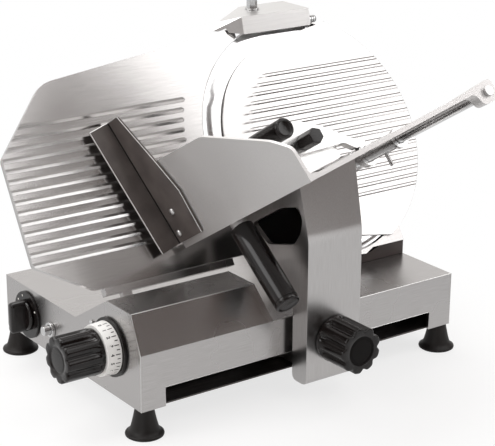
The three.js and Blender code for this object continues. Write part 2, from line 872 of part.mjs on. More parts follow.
const onBlade = (geometry) => at(geometry, blade_x, blade_u, 0);
const onMotor = (geometry) => at(geometry, blade_x, motor_u, 0);
const pulley_cover_front = housing_back - seat_gap;
const pulley_cover_back = pulley_cover_front - pulley_cover_depth;
const base_top_gap = base_height + seat_gap;

// Everything below the top of the base, as a tool in the blade frame
const underBase = () => between(
  block([-base_length, 2 * base_length], [-base_width, 2 * base_width], [-base_length, base_top_gap]),
  body, blade_frame,
);

// The highest point of the sharpener's front, and the post that carries the sharpener
const brow_y = blade_foot_y + sharpener_brow * Math.sin(tilt) - sharpener_front * Math.cos(tilt);
const brow_z = base_height + sharpener_brow * Math.cos(tilt) + sharpener_front * Math.sin(tilt);
const post_y = brow_y + post_back;
const post_bottom = brow_z - post_depth;
const upright = (geometry) => between(at(geometry, post_x, post_y, 0), body, blade_frame);

const beltRoom = () => aroundTwo(
  [blade_x, blade_u, pulley_cover_radius + seat_gap], [blade_x, motor_u, pulley_cover_radius + seat_gap],
  [-base_width, housing_back],
);

// Blade housing: a disc behind the blade with a guard ring, a foot and a bearing hub
function addBladeHousing() {
  const depth = [housing_back, housing_front];
  const rim = prism(sector(ring_outer_radius, ring_start_deg, ring_end_deg), [housing_back, -seat_gap]);
  const rim_bore = rod(blade_radius + ring_blade_gap, [housing_front, cut_overrun], fine_sides);
  const foot = block(
    [housing_foot_start, base_length], [housing_foot_bottom, housing_foot_top], [housing_back, -seat_gap]);
  const posts = [-1, 1].flatMap((side_x) => [-1, 1].map((side_y) => at(
    rod(motor_post_radius, [motor_plate_front + seat_gap, housing_back + seat_gap], small_sides),
    blade_x + side_x * motor_post_spread, motor_u + side_y * motor_post_rise, 0,
  )));
  const lug = block(
    [post_x - lug_half_width, post_x + lug_half_width],
    [sharpener_bottom - lug_drop, sharpener_bottom + lug_rise],
    [hub_back, housing_front],
  );
  const seat = bearing_radius + seat_gap;
  const seat_depth = bearing_width + 2 * seat_gap;
  const casting = cut(
    join(
      onBlade(rod(housing_radius, depth, fine_sides)),
      cut(join(onBlade(rim), foot), onBlade(rim_bore)),
      onBlade(rod(hub_radius, [hub_back, housing_front])),
      lug,
      ...posts,
    ),
    onBlade(rod(shaft_radius + 2 * running_gap, [hub_back - cut_overrun, cut_overrun])),
    onBlade(rod(seat, [housing_front - seat_depth, cut_overrun])),
    onBlade(rod(seat, [hub_back - cut_overrun, hub_back + seat_depth])),
    upright(rod(post_radius + seat_gap, [post_bottom, brow_z])),
    underBase(),
  );
  add(blade_frame, 'blade_housing', casting, satin_aluminium);

  const pedestal = between(
    block([housing_foot_start, base_length], [pedestal_front, pedestal_back], [base_top_gap, pedestal_top]),
    body, blade_frame,
  );
  const housing_room = [housing_back - seat_gap, base_width];
  const above_foot = block(
    [0, 2 * base_length], [housing_foot_bottom - seat_gap, base_length], housing_room);
  const ring_room = onBlade(rod(ring_outer_radius + seat_gap, housing_room, fine_sides));
  const support = cut(pedestal, beltRoom(), above_foot, ring_room);
  add(blade_frame, 'housing_pedestal', support, motor_paint);
}

// Blade: dished in the middle, with a bevel on the front of its edge
const blade_dish_back = -blade_thickness - blade_recess;
const blade_bore = hub_flange_radius - blade_seat_width;

function addBlade() {
  const bevel_start = blade_radius - blade_bevel_run;
  const band_start = bevel_start - blade_band_run;
  const blade = turned([
    [blade_bore, blade_dish_back], [band_start, blade_dish_back],
    [band_start + blade_recess, -blade_thickness], [blade_radius, -blade_thickness],
    [blade_radius, blade_edge_thickness - blade_thickness], [bevel_start, 0],
    [band_start + blade_recess, 0], [band_start, -blade_recess], [blade_bore, -blade_recess],
  ], fine_sides);
  add(blade_frame, 'blade', onBlade(blade), blade_steel);

  const flange_front = blade_dish_back - seat_gap;
  const flange_back = housing_front + 2 * running_gap;
  const shaft_back = pulley_back - 2 * seat_gap;
  const spigot = blade_bore - seat_gap;
  const shaft = turned([
    [shaft_bore_radius, shaft_back], [shaft_radius, shaft_back], [shaft_radius, flange_back],
    [hub_flange_radius, flange_back], [hub_flange_radius, flange_front], [spigot, flange_front],
    [spigot, -blade_recess - seat_gap], [shaft_bore_radius, -blade_recess - seat_gap],
  ]);
  add(blade_frame, 'blade_shaft', onBlade(shaft), bright_steel);

  const bearing = (front) =>
    onBlade(ring(shaft_radius + seat_gap, bearing_radius, [front - bearing_width, front]));
  add(blade_frame, 'bearing_front', bearing(housing_front - seat_gap), bright_steel);
  add(blade_frame, 'bearing_rear', bearing(hub_back + bearing_width + seat_gap), bright_steel);
  const width = [pulley_back, pulley_front];
  const large = ring(shaft_radius + seat_gap, pulley_radius, width);
  add(blade_frame, 'blade_pulley', onBlade(large), dark_steel);
  const small = ring(motor_shaft_radius + seat_gap, motor_pulley_radius, width);
  add(blade_frame, 'motor_pulley', onMotor(small), dark_steel);
  const loop = (grow, span) => aroundTwo(
    [blade_x, blade_u, pulley_radius + grow], [blade_x, motor_u, motor_pulley_radius + grow], span);
  const belt_span = [pulley_back + running_gap, pulley_front - running_gap];
  const belt_bore = [pulley_back - cut_overrun, pulley_front + cut_overrun];
  const belt = cut(loop(running_gap + belt_thickness, belt_span), loop(running_gap, belt_bore));
  add(blade_frame, 'belt', belt, black_rubber);
}

function addMotor() {
  const half_length = motor_plate_length / 2;
  const half_height = motor_plate_height / 2;
  const plate_back = motor_plate_front - motor_plate_thickness;
  const motor = join(
    block([-half_length, half_length], [-half_height, half_height], [plate_back, motor_plate_front]),
    rod(motor_radius, [plate_back - motor_length, plate_back + motor_plate_thickness / 2]),
    rod(motor_shaft_radius, [plate_back, pulley_front + seat_gap], small_sides),
  );
  add(blade_frame, 'motor', onMotor(motor), motor_paint);

  const shell = (radius, span) => aroundTwo([blade_x, blade_u, radius], [blade_x, motor_u, radius], span);
  const pulley_cover = cut(
    shell(pulley_cover_radius, [pulley_cover_back, pulley_cover_front]),
    shell(pulley_cover_radius - shell_wall, [pulley_cover_back + shell_wall, housing_back]),
    onMotor(rod(motor_radius + running_gap, [-base_width, housing_back])),
    onBlade(rod(tie_rod_radius + running_gap, [-base_width, housing_back])),
    underBase(),
  );
  add(blade_frame, 'pulley_cover', pulley_cover, satin_aluminium);
  const cover_front = pulley_cover_back - seat_gap;
  const cover_back = cover_front - motor_cover_depth;
  const vent_start = (cover_front + cover_back - (vent_count - 1) * vent_pitch) / 2;
  const vents = Array.from({ length: vent_count }, (_, index) => {
    const n = vent_start + index * vent_pitch;
    const width = [n - vent_width / 2, n + vent_width / 2];
    return block([-vent_length / 2, vent_length / 2], [0, base_width], width);
  });
  const motor_cover = cut(
    onMotor(rod(motor_cover_radius, [cover_back, cover_front])),
    onMotor(rod(motor_cover_radius - shell_wall, [cover_back + shell_wall, housing_back])),
    ...vents.map(onMotor),
    underBase(),
  );
  add(blade_frame, 'motor_cover', motor_cover, satin_aluminium);
}

// Ribbed plate in front of the blade, and the rod that holds it from behind
function addBladeCover() {
  const cover_radius = blade_radius - cover_inset;
  const cover_wide_radius = blade_radius + cover_overhang;
  const shoulder = Math.acos(cover_shoulder_run / cover_wide_radius);
  const touch = shoulder + Math.acos(cover_radius / cover_wide_radius);
  const shape = new THREE.Shape();
  shape.absarc(0, 0, cover_wide_radius, -shoulder, shoulder, false);
  shape.absarc(0, 0, cover_radius, touch, full_turn - touch, false);
  const face = cover_gap + cover_thickness;
  const settings = { depth: cover_thickness, bevelEnabled: false, curveSegments: 20 };
  const plate = new THREE.ExtrudeGeometry(shape, settings).translate(0, 0, cover_gap);
  const half_width = cover_rib_width / 2;
  const top_rib = blade_radius - cover_top_rib_inset;
  const rib_total = 1 + Math.floor((2 * top_rib) / cover_rib_pitch);
  const ribs = Array.from({ length: rib_total }, (_, index) => {
    const u = top_rib - index * cover_rib_pitch;
    const left = -Math.sqrt((blade_radius - cover_rib_start_inset) ** 2 - u ** 2);
    const right = Math.sqrt((cover_wide_radius - cover_rib_rise) ** 2 - (Math.abs(u) + half_width) ** 2);
    return block([left, right], [u - half_width, u + half_width], [face - seat_gap, face + cover_rib_rise]);
  });
  const hole = rod(tie_rod_radius + seat_gap, [-cut_overrun, 2 * cut_overrun], small_sides);
  add(blade_frame, 'blade_cover', onBlade(cut(join(plate, ...ribs), hole)), polished_aluminium);
  const knob_front = pulley_cover_back - running_gap;
  const knob_back = knob_front - tie_knob_depth;
  const tie = join(
    rod(tie_rod_radius, [knob_front - tie_knob_depth / 2, face], small_sides),
    prism(fluted(tie_knob_radius, 6, flute_share), [knob_back, knob_front]),
  );
  add(blade_frame, 'tie_rod', onBlade(tie), bright_steel);
}

// Sharpener: a hood over the top of the blade that lifts off along an upright post
function addSharpener() {
  const hood = (inset) => {
    const left = sharpener_left + inset;
    const right = sharpener_right - inset;
    const back_left = sharpener_left + sharpener_back_inset + inset;
    const wing_x = sharpener_left - sharpener_wing_reach + 2 * inset;
    const wing_u = sharpener_bottom + sharpener_wing_rise - inset;
    const low = inset > 0 ? sharpener_bottom - cut_overrun : sharpener_bottom;
    const back_y = brow_y + sharpener_depth - inset;
    const top_z = brow_z - inset;
    const behind = (x, z) => {
      const { u, n } = bladePoint(back_y, z);
      return [x, u, n];
    };
    const front = bladePoint(brow_y + inset, top_z);
    const skirt_z = brow_z - sharpener_skirt - (inset > 0 ? cut_overrun : 0);
    return hull([
      [left, low, sharpener_chin - inset], [right, low, sharpener_chin - inset],
      [left, front.u, front.n], [right, front.u, front.n],
      [wing_x, wing_u, sharpener_wing_n],
      [wing_x + sharpener_wing_step, wing_u + sharpener_wing_height, sharpener_wing_n],
      [right, low, -blade_thickness],
      behind(back_left, top_z), behind(right, top_z),
      behind(back_left, skirt_z), behind(right, skirt_z),
    ]);
  };
  const blade_room = onBlade(rod(ring_outer_radius + ring_blade_gap, [-base_width, cover_gap], fine_sides));
  const gauge_room = prism([
    [gauge_left, gauge_shoulder], [gauge_shoulder_x, gauge_shoulder + ring_blade_gap],
    [gauge_right, gauge_top_right + ring_blade_gap], [blade_x, gauge_top_right + ring_blade_gap],
    [blade_x, gauge_bottom], [gauge_left, gauge_bottom],
  ], [-base_width, cover_gap]);
  const boss_z = [brow_z - sharpener_boss_depth, brow_z - sharpener_wall / 2];
  const boss = upright(rod(2 * post_radius, boss_z, small_sides));
  const bracket_n = stone_start - stone_width / 2;
  const bracket = block(
    [stone_x - 2 * stone_pin_radius, stone_x + 2 * stone_pin_radius],
    [stone_u - stone_pin_radius, stone_u + 3 * stone_radius],
    [bracket_n - stone_width / 2, bracket_n],
  );
  const pin = at(rod(stone_pin_radius, [bracket_n - stone_width / 4, stone_start + stone_width + seat_gap],
    small_sides), stone_x, stone_u, 0);
  const shell = cut(hood(0), hood(sharpener_wall), blade_room, gauge_room);
  const inside = (geometry) => common(geometry, hood(sharpener_wall / 2));
  const body_solid = cut(
    join(shell, inside(boss), inside(bracket), pin),
    upright(rod(post_radius + running_gap, [brow_z - base_width, brow_z + cut_overrun])),
  );
  add(blade_frame, 'sharpener_body', body_solid, satin_aluminium);
  const post_top = brow_z + sharpener_washer_height + sharpener_knob_height / 2;
  const post = upright(rod(post_radius, [post_bottom + seat_gap, post_top]));
  add(blade_frame, 'sharpener_post', post, bright_steel);
  const washer_bottom = brow_z + seat_gap;
  const washer_top = washer_bottom + sharpener_washer_height;
  const knob = cut(
    join(
      rod(sharpener_washer_radius, [washer_bottom, washer_top]),
      rod(sharpener_knob_radius, [washer_bottom, washer_top + sharpener_knob_height], 6),
    ),
    rod(post_radius + running_gap, [brow_z, post_top + seat_gap]),
  );
  add(blade_frame, 'sharpener_knob', upright(knob), bright_steel);
  const stone = ring(stone_pin_radius + seat_gap, stone_radius, [stone_start, stone_start + stone_width]);
  add(blade_frame, 'grinding_stone', at(stone, stone_x, stone_u, 0), stone_grey);
  const button = alongX(rod(stone_button_radius, [0, stone_button_length], small_sides));
  const button_place = [sharpener_right + seat_gap, sharpener_bottom + stone_button_rise, stone_button_n];
  add(blade_frame, 'stone_button', at(button, ...button_place), bright_steel);
}

// The tray's underside rises toward the front; this tool is all that lies above it
function aboveTray(drop) {
  const wide = [-base_length, 2 * base_length];
  return between(block(wide, [-drop, base_length], wide), tray_frame, body);
}

// Column: a channel open to the back, leaning back in its upper part
function addColumn() {
  const lean = Math.tan(degToRad(column_lean_deg));
  const reach = (start_y, start_z) => start_y + lean * (column_top_reach - start_z);
  const span = [column_x, column_x + column_width];
  const solid = alongX(prism([
    [column_front, column_bottom, column_toe_radius], [column_back, column_bottom, column_toe_radius],
    [column_back, column_web_start_z], [column_web_y, column_web_z], [column_web_y, column_top_reach],
    [reach(column_front, column_bend_z), column_top_reach],
    [column_front, column_bend_z, column_toe_radius],
  ], span));
  const inner_front = column_front + column_wall;
  const hollow = cut(
    alongX(prism([
      [inner_front, foot_arm_top + column_wall], [column_web_y + column_wall, foot_arm_top + column_wall],
      [column_web_y + column_wall, column_top_reach], [reach(inner_front, column_bend_z), column_top_reach],
      [inner_front, column_bend_z],
    ], [span[0] + column_wall, span[1] - column_wall])),
    aboveTray(column_wall + seat_gap),
  );
  const window_outline = window_shares.map(([along, up]) => [
    column_front + window_front_wall + along * window_length,
    window_sill_z + up * window_height,
    window_corner,
  ]);
  const window_room = alongX(prism(window_outline, [column_x - cut_overrun, column_x + window_depth]));
  const stud_hole = alongY(
    rod(column_stud_radius + running_gap, [column_front - cut_overrun, column_back]));
  const column_knob_x = column_x + column_knob_inset;
  const upper = cut(solid, hollow, window_room, at(stud_hole, column_knob_x, 0, column_knob_z));
  const middle = column_x + column_width / 2;
  const place = upper.attributes.position;
  for (let index = 0; index < place.count; index += 1) {
    const rise = Math.max(0, place.getZ(index) - column_bend_z) / (column_web_z - column_web_start_z);
    const spread = 1 + (rise * column_flare) / column_width;
    place.setX(index, middle + (place.getX(index) - middle) * spread);
  }
  const bush_outer = guide_rod_radius + running_gap + bush_wall;
  const block_span = [span[0] + carriage_block_inset, span[1] - carriage_block_inset];
  const depth = [guide_rod_y - carriage_block_depth / 2, guide_rod_y + carriage_block_depth / 2];
  const arm_x = [column_x + foot_arm_inset, column_x + foot_arm_inset + foot_arm_width];
  const roller_z = rail_bottom + rail_thickness + roller_radius + seat_gap;
  const middle_x = (arm_x[0] + arm_x[1]) / 2;
  const arm_end = rail_y - roller_width / 2 - 2 * running_gap;
  const pin_span = [arm_end - running_gap, rail_y + roller_width / 2 + roller_pin_radius];
  const bush_depth = bush_length + seat_gap;
  const onGuide = (geometry) => at(alongX(geometry), 0, guide_rod_y, guide_rod_z);
  const column = cut(
    join(
      cut(upper, aboveTray(seat_gap)),
      block(arm_x, [column_back - column_wall, depth[0] + running_gap], [foot_arm_bottom, foot_arm_top]),
      block(block_span, depth, [carriage_block_bottom, carriage_block_top]),
      block(
        [middle_x - roller_arm_width / 2, middle_x + roller_arm_width / 2],
        [depth[1] - running_gap, arm_end],
        [roller_arm_bottom, foot_arm_top],
      ),
      at(alongY(rod(roller_pin_radius, pin_span, small_sides)), middle_x, 0, roller_z),
    ),
    onGuide(rod(guide_rod_radius + 2 * running_gap, [0, base_length])),
    onGuide(rod(bush_outer + seat_gap, [block_span[0] - cut_overrun, block_span[0] + bush_depth])),
    onGuide(rod(bush_outer + seat_gap, [block_span[1] - bush_depth, block_span[1] + cut_overrun])),
  );
  add(body, 'carriage_column', column, satin_aluminium);
  const bush = (from) =>
    onGuide(ring(guide_rod_radius + running_gap, bush_outer, [from, from + bush_length]));
  add(body, 'bush_left', bush(block_span[0]), bronze);
  add(body, 'bush_right', bush(block_span[1] - bush_length), bronze);
  const roller = alongY(ring(roller_pin_radius + running_gap, roller_radius,
    [rail_y - roller_width / 2, rail_y + roller_width / 2]));
  add(body, 'roller', at(roller, middle_x, 0, roller_z), black_plastic);
  const knob_back = column_front - seat_gap;
  const knob = alongY(join(
    prism(fluted(column_knob_radius, 9, flute_share), [knob_back - column_knob_length, knob_back]),
    rod(column_stud_radius, [knob_back - column_knob_length / 2, column_back], small_sides),
  ));
  add(body, 'column_knob', at(knob, column_knob_x, 0, column_knob_z), black_plastic);
}

// Product tray, with an ear at each end of the press rod and a boss for the handle
const ear_far = tray_far - 1;
const wall_lean = degToRad(wall_lean_deg - floor_rise_deg);
const onWall = (geometry) => alongX(geometry).rotateZ(wall_lean);
const rivet_places = rivet_shares.map(([up, out]) => [
  guard_bottom + up * (guard_top - guard_bottom), guard_near + out * guard_reach,
]);

function addTray() {
  const floor = block([-wall_thickness / 2, floor_width], [0, floor_thickness], [tray_near, tray_far]);
  const hole_radius = rivet_stem_radius + seat_gap;
  const rivet_holes = rivet_places.map(([v, n]) =>
    at(rod(hole_radius, [-wall_thickness - cut_overrun, cut_overrun], small_sides), v, n, 0));
  const wall = onWall(cut(
    prism([
      [0, tray_near], [0, tray_far], [wall_outer_height, tray_far, tray_corner_radius],
      ...wall_edge_shares.map(([up, out]) => [
        up * wall_height, tray_near + out * (tray_far - tray_near), tray_corner_radius,
      ]),
      [wall_height, tray_near],
    ], [-wall_thickness, 0]),
    ...rivet_holes,
  ));
  const fillet_top = floor_thickness + tray_corner_radius;
  const fillet_end = -fillet_top * Math.tan(wall_lean) - seat_gap;
  const fillet = new THREE.Shape();
  fillet.moveTo(-wall_thickness / 2, floor_thickness / 2);
  fillet.lineTo(tray_corner_radius, floor_thickness / 2);
  fillet.lineTo(tray_corner_radius, floor_thickness);
  fillet.quadraticCurveTo(0, floor_thickness, fillet_end, fillet_top);
  fillet.lineTo(-wall_thickness / 2, fillet_top);
  const ear = (span) => prism([
    [floor_width - press_ear_root, 0], [floor_width - seat_gap, 0, press_ear_blend],
    [press_rod_x - press_ear_radius, press_rod_y - press_ear_radius, press_ear_blend],
    [press_rod_x + press_ear_radius, press_rod_y - press_ear_radius, press_ear_blend],
    [press_rod_x + press_ear_radius, press_rod_y + press_ear_radius, press_ear_blend],
    [floor_width - press_ear_root, floor_thickness + seat_gap],
  ], span);
  const bolt_hole = at(
    rod(press_bolt_shank_radius + seat_gap, [0, 2 * tray_far], small_sides), press_rod_x, press_rod_y, 0);
  const handle_boss = pushHandle(rod(push_boss_radius, [-floor_thickness / 2, push_boss_length]));
  const tray = join(
    floor,
    wall,
    prism(fillet, [tray_near, tray_far]),
    cut(ear([ear_far - press_ear_depth, ear_far]), bolt_hole),
    ear([ear_near_start, ear_near_end]),
    between(handle_boss, blade_frame, tray_frame),
  );
  add(tray_frame, 'product_tray', tray, polished_aluminium);
}

// Places a piece along the push handle, which slants down and forward under the tray
const tray_slope = Math.tan(degToRad(floor_rise_deg));
const push_root_u = tray_u + (push_handle_x - tray_x) * tray_slope;
function pushHandle(geometry) {
  return at(
    geometry.clone().rotateX(quarter_turn - degToRad(push_handle_pitch_deg)),
    push_handle_x, push_root_u, push_handle_reach,
  );
}

function addCarriageFittings() {
  const flange_v = [guard_bottom, guard_top];
  const guard_face = -wall_thickness - seat_gap;
  const guard_outer = guard_face - guard_thickness;
  const plate = prism([
    [guard_bottom, guard_near, guard_corner],
    ...guard_edge_shares.map(([up, out]) => [
      guard_bottom + up * (guard_top - guard_bottom), guard_near + out * guard_reach, guard_corner,
    ]),
    [guard_top, guard_near],
  ], [guard_outer, guard_face]);
  const flange_depth = [guard_face - guard_flange, guard_face];
  const flange = block(flange_v, [guard_near, guard_near + guard_thickness], flange_depth);
  const holes = rivet_places.map(([v, n]) =>
    at(rod(rivet_stem_radius + seat_gap, [guard_outer - cut_overrun, cut_overrun], small_sides), v, n, 0));
  add(tray_frame, 'hand_guard', onWall(cut(join(plate, flange), ...holes)), black_plastic);
  rivet_places.forEach(([v, n], index) => {
    const head = [guard_outer - seat_gap - rivet_rise, guard_outer - seat_gap];
    const rivet = join(
      rod(rivet_radius, head, small_sides),
      rod(rivet_stem_radius, [head[0] + rivet_rise / 2, 0], small_sides),
    );
    add(tray_frame, `guard_rivet_${index + 1}`, onWall(at(rivet, v, n, 0)), bright_steel);
  });
  const start = push_boss_length + seat_gap;
  const grip = turned([
    [0, start], [push_handle_radius - push_handle_end_round, start],
    [push_handle_radius, start + push_handle_end_round],
    [push_handle_radius, start + push_handle_length - push_handle_end_round],
    [push_handle_radius - push_handle_end_round, start + push_handle_length],
    [0, start + push_handle_length],
  ]);
  add(blade_frame, 'push_handle', pushHandle(grip), black_plastic);
}

// Meat press: an arm that swings on a sleeve, and the sleeve slides along the rod
function addPress() {
  const onRod = (geometry) => at(geometry, press_rod_x, press_rod_y, 0);
  const ear_face = ear_far - press_ear_depth;
  const rod_span = [ear_near_end + seat_gap, ear_face - seat_gap];
  add(tray_frame, 'press_rod', onRod(rod(press_rod_radius, rod_span)), bright_steel);
  const bolt = join(
    rod(press_bolt_radius, [ear_far + seat_gap, ear_far + seat_gap + press_bolt_rise]),
    rod(press_bolt_shank_radius, [ear_face, ear_far + press_bolt_rise / 2], small_sides),
  );
  add(tray_frame, 'press_rod_bolt', onRod(bolt), bright_steel);
  const bore = press_rod_radius + running_gap;
  const pin = rod(slider_pin_radius, [slider_radius - running_gap, slider_pin_reach], small_sides);
  const slider = join(
    turned([
      [bore, slider_start], [slider_collar_radius, slider_start],
      [slider_collar_radius, slider_start + slider_collar_width],
      [slider_radius, slider_start + slider_collar_width],
      [slider_radius, slider_end - slider_collar_width],
      [slider_collar_radius, slider_end - slider_collar_width], [slider_collar_radius, slider_end],
      [bore, slider_end],
    ]),
    pin.rotateX(quarter_turn).translate(0, 0, slider_pin_n),
  );
  add(tray_frame, 'press_slider', onRod(slider), bright_steel);

  const arm_end = arm_start + arm_depth;
  const bore_span = [arm_start - cut_overrun, arm_end + cut_overrun];
  const hub_bore = onRod(rod(slider_radius + running_gap, bore_span));
  const arm_outline = arm_shares.map(([along, up]) =>
    [arm_left + along * arm_length, arm_bottom + up * arm_height, arm_corner]);
  const arm = cut(
    join(prism(arm_outline, [arm_start, arm_end]), onRod(rod(arm_hub_radius, [arm_start, arm_end]))),
    hub_bore,
  );
  add(tray_frame, 'press_arm', arm, satin_aluminium);
  const spike = new THREE.ConeGeometry(spike_radius, spike_length + spike_root, 8).rotateX(-quarter_turn);
  const spike_middle = plate_start + (spike_root - spike_length) / 2;
  const spikes = [];
  for (let row = 0; row < spike_rows; row += 1) {
    for (let column = 0; column < spike_columns; column += 1) {
      const x = spike_first_x + column * spike_pitch;
      spikes.push(at(spike, x, spike_first_y + row * spike_row_pitch, spike_middle));
    }
  }
  const plate_outline = press_plate_shares.map(([along, up]) => [
    press_plate_left + along * press_plate_length,
    press_plate_bottom + up * press_plate_height,
    arm_corner,
  ]);
  const plate = join(prism(plate_outline, [plate_start, arm_start - seat_gap]), ...spikes);
  add(tray_frame, 'press_plate', plate, satin_aluminium);
  const handle_start = arm_end + seat_gap;
  const grip = turned([
    [0, handle_start], [press_handle_radius, handle_start],
    [press_handle_radius, handle_start + press_handle_length - push_handle_end_round],
    [press_handle_radius - push_handle_end_round, handle_start + press_handle_length],
    [0, handle_start + press_handle_length],
  ]);
  add(tray_frame, 'press_handle', at(grip, press_handle_x, press_handle_y, 0), black_plastic);
  const knob = rod(press_knob_radius, [handle_start, handle_start + press_knob_length], 6);
  add(tray_frame, 'press_knob', at(knob, press_knob_x, press_knob_y, 0), black_plastic);
}

addBase();
addFeet();
addGuides();
addDial();
addSwitches();
addGauge();
addBladeHousing();
addBlade();
addMotor();
addBladeCover();
addSharpener();
addColumn();
addTray();
addCarriageFittings();
addPress();

// The origin is the middle of the outer box, on the ground
const bounds = new THREE.Box3().setFromObject(slicer, true);
slicer.position.set(-(bounds.min.x + bounds.max.x) / 2, -(bounds.min.y + bounds.max.y) / 2, -bounds.min.z);
slicer.updateMatrixWorld(true);

export default slicer;
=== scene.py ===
"""Studio scene of an electric gravity-feed slicer with a slanted blade.

The frame is that of the solids: +X is the way the carriage travels, +Y leads to the
motor side and +Z is up. Sizes of pieces are millimetres; those of the floor, the lamps
and the camera's place are metres.
"""
import json
import math

import bmesh
import bpy
from mathutils import Matrix, Vector


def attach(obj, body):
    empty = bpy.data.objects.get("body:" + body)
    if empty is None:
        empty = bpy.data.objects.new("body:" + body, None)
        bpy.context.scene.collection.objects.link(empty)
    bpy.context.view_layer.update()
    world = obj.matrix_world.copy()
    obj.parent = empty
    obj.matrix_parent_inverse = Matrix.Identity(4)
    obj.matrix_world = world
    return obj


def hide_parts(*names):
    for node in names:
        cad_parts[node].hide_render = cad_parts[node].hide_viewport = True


MM = 0.001

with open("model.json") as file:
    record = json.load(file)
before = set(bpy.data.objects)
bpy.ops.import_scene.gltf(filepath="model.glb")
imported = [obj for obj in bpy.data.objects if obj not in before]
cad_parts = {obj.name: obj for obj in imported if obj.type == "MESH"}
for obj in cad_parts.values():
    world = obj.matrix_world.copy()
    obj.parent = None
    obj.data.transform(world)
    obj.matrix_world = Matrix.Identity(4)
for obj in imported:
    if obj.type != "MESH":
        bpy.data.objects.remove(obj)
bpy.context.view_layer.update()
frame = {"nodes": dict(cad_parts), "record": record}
nodes = frame["nodes"]


# Node and colour helpers
def linear(hex_colour):
    """sRGB hex such as "c8c6c4" to a linear RGBA tuple."""
    values = [int(hex_colour[i:i + 2], 16) / 255 for i in (0, 2, 4)]
    return tuple(v / 12.92 if v <= 0.04045 else ((v + 0.055) / 1.055) ** 2.4 for v in values) + (1.0,)


def add_node(tree, kind, settings=None, links=None):
    """One node of a tree, with its settings, socket values and incoming links."""
    node = tree.nodes.new(kind)
    for name, value in (settings or {}).items():
        if hasattr(node, name):
            setattr(node, name, value)
        else:
            node.inputs[name].default_value = value
    for name, source in (links or {}).items():
        tree.links.new(source, node.inputs[name])
    return node


def new_material(name):
    """An empty material, with its tree and the output of that tree."""
    material = bpy.data.materials.new(name)
    material.use_nodes = True
    tree = material.node_tree
    tree.nodes.clear()
    output = add_node(tree, "ShaderNodeOutputMaterial")
    return material, tree, output


def finish_material(tree, output, settings, links):
    shader = add_node(tree, "ShaderNodeBsdfPrincipled", settings, links)
    tree.links.new(shader.outputs["BSDF"], output.inputs["Surface"])


def per_metre(size_mm):
    """The scale of a pattern whose cells are this many millimetres across."""
    return 1 / (size_mm * MM)


# A streak's width as a share of its length, and the sizes of the soft clouds and worn patches
STREAK_SHARE = 0.02
CLOUD_MM = 70
WORN_PATCH_MM = 25
STREAK_TONE_SHARES = (0.3, 0.7)
WORN_TONE_SHARES = (0.35, 0.75)


def brushed_metal(name, dark, light, roughness, spread, along, grain_mm, depth, wave_mm=0, wave_depth=0):
    """Metal brushed in one direction: long fine streaks in colour, gloss and height.

    A wave size adds the faint unevenness of a plate that was polished by hand.
    """
    material, tree, output = new_material(name)
    place = add_node(tree, "ShaderNodeTexCoord")
    stretch = [1.0, 1.0, 1.0]
    stretch["XYZ".index(along)] = STREAK_SHARE
    squeezed = add_node(tree, "ShaderNodeMapping", {"Scale": stretch}, {"Vector": place.outputs["Object"]})
    streaks = add_node(tree, "ShaderNodeTexNoise", {"Scale": per_metre(grain_mm), "Detail": 4.0},
                       {"Vector": squeezed.outputs["Vector"]})
    cloud = add_node(tree, "ShaderNodeTexNoise", {"Scale": per_metre(CLOUD_MM), "Detail": 2.0},
                     {"Vector": place.outputs["Object"]})
    tone = add_node(tree, "ShaderNodeValToRGB", None, {"Fac": streaks.outputs["Fac"]})
    for stop, share, colour in zip(tone.color_ramp.elements, STREAK_TONE_SHARES, (dark, light)):
        stop.position = share
        stop.color = linear(colour)
    gloss = add_node(tree, "ShaderNodeMapRange",
                     {"To Min": roughness - spread, "To Max": roughness + spread},
                     {"Value": cloud.outputs["Fac"]})
    bump = add_node(tree, "ShaderNodeBump", {"Strength": 0.25, "Distance": depth * MM},
                    {"Height": streaks.outputs["Fac"]})
    if wave_mm:
        swell = add_node(tree, "ShaderNodeTexNoise", {"Scale": per_metre(wave_mm), "Detail": 1.0},
                         {"Vector": place.outputs["Object"]})
        bump = add_node(tree, "ShaderNodeBump", {"Strength": 1.0, "Distance": wave_depth * MM},
                        {"Height": swell.outputs["Fac"], "Normal": bump.outputs["Normal"]})
    finish_material(tree, output, {"Metallic": 1.0},
                    {"Base Color": tone.outputs["Color"], "Roughness": gloss.outputs["Result"],
                     "Normal": bump.outputs["Normal"]})
    return material


def moulded(name, colour, worn, roughness, spread, grain_mm, depth, specular=0.5):
    """Moulded plastic or rubber: a fine texture, with a slightly paler worn tone in patches."""
    material, tree, output = new_material(name)
    place = add_node(tree, "ShaderNodeTexCoord")
    grain = add_node(tree, "ShaderNodeTexNoise", {"Scale": per_metre(grain_mm), "Detail": 3.0},
                     {"Vector": place.outputs["Object"]})
    patches = add_node(tree, "ShaderNodeTexNoise", {"Scale": per_metre(WORN_PATCH_MM), "Detail": 3.0},
                       {"Vector": place.outputs["Object"]})
    tone = add_node(tree, "ShaderNodeValToRGB", None, {"Fac": patches.outputs["Fac"]})
    for stop, share, shade in zip(tone.color_ramp.elements, WORN_TONE_SHARES, (colour, worn)):
        stop.position = share
        stop.color = linear(shade)
    gloss = add_node(tree, "ShaderNodeMapRange",
                     {"To Min": roughness - spread, "To Max": roughness + spread},
                     {"Value": patches.outputs["Fac"]})
    bump = add_node(tree, "ShaderNodeBump", {"Strength": 0.3, "Distance": depth * MM},
                    {"Height": grain.outputs["Fac"]})
    finish_material(tree, output, {"IOR": 1.5, "Specular IOR Level": specular},
                    {"Base Color": tone.outputs["Color"], "Roughness": gloss.outputs["Result"],
                     "Normal": bump.outputs["Normal"]})
    return material


# Cast aluminium, ground and satin brushed along the base: even soft grey, streaks only up close
cast_aluminium = brushed_metal("brushed_cast_aluminium", "b6b3b2", "c3c1c0", 0.27, 0.03, "X", 0.5, 0.004)
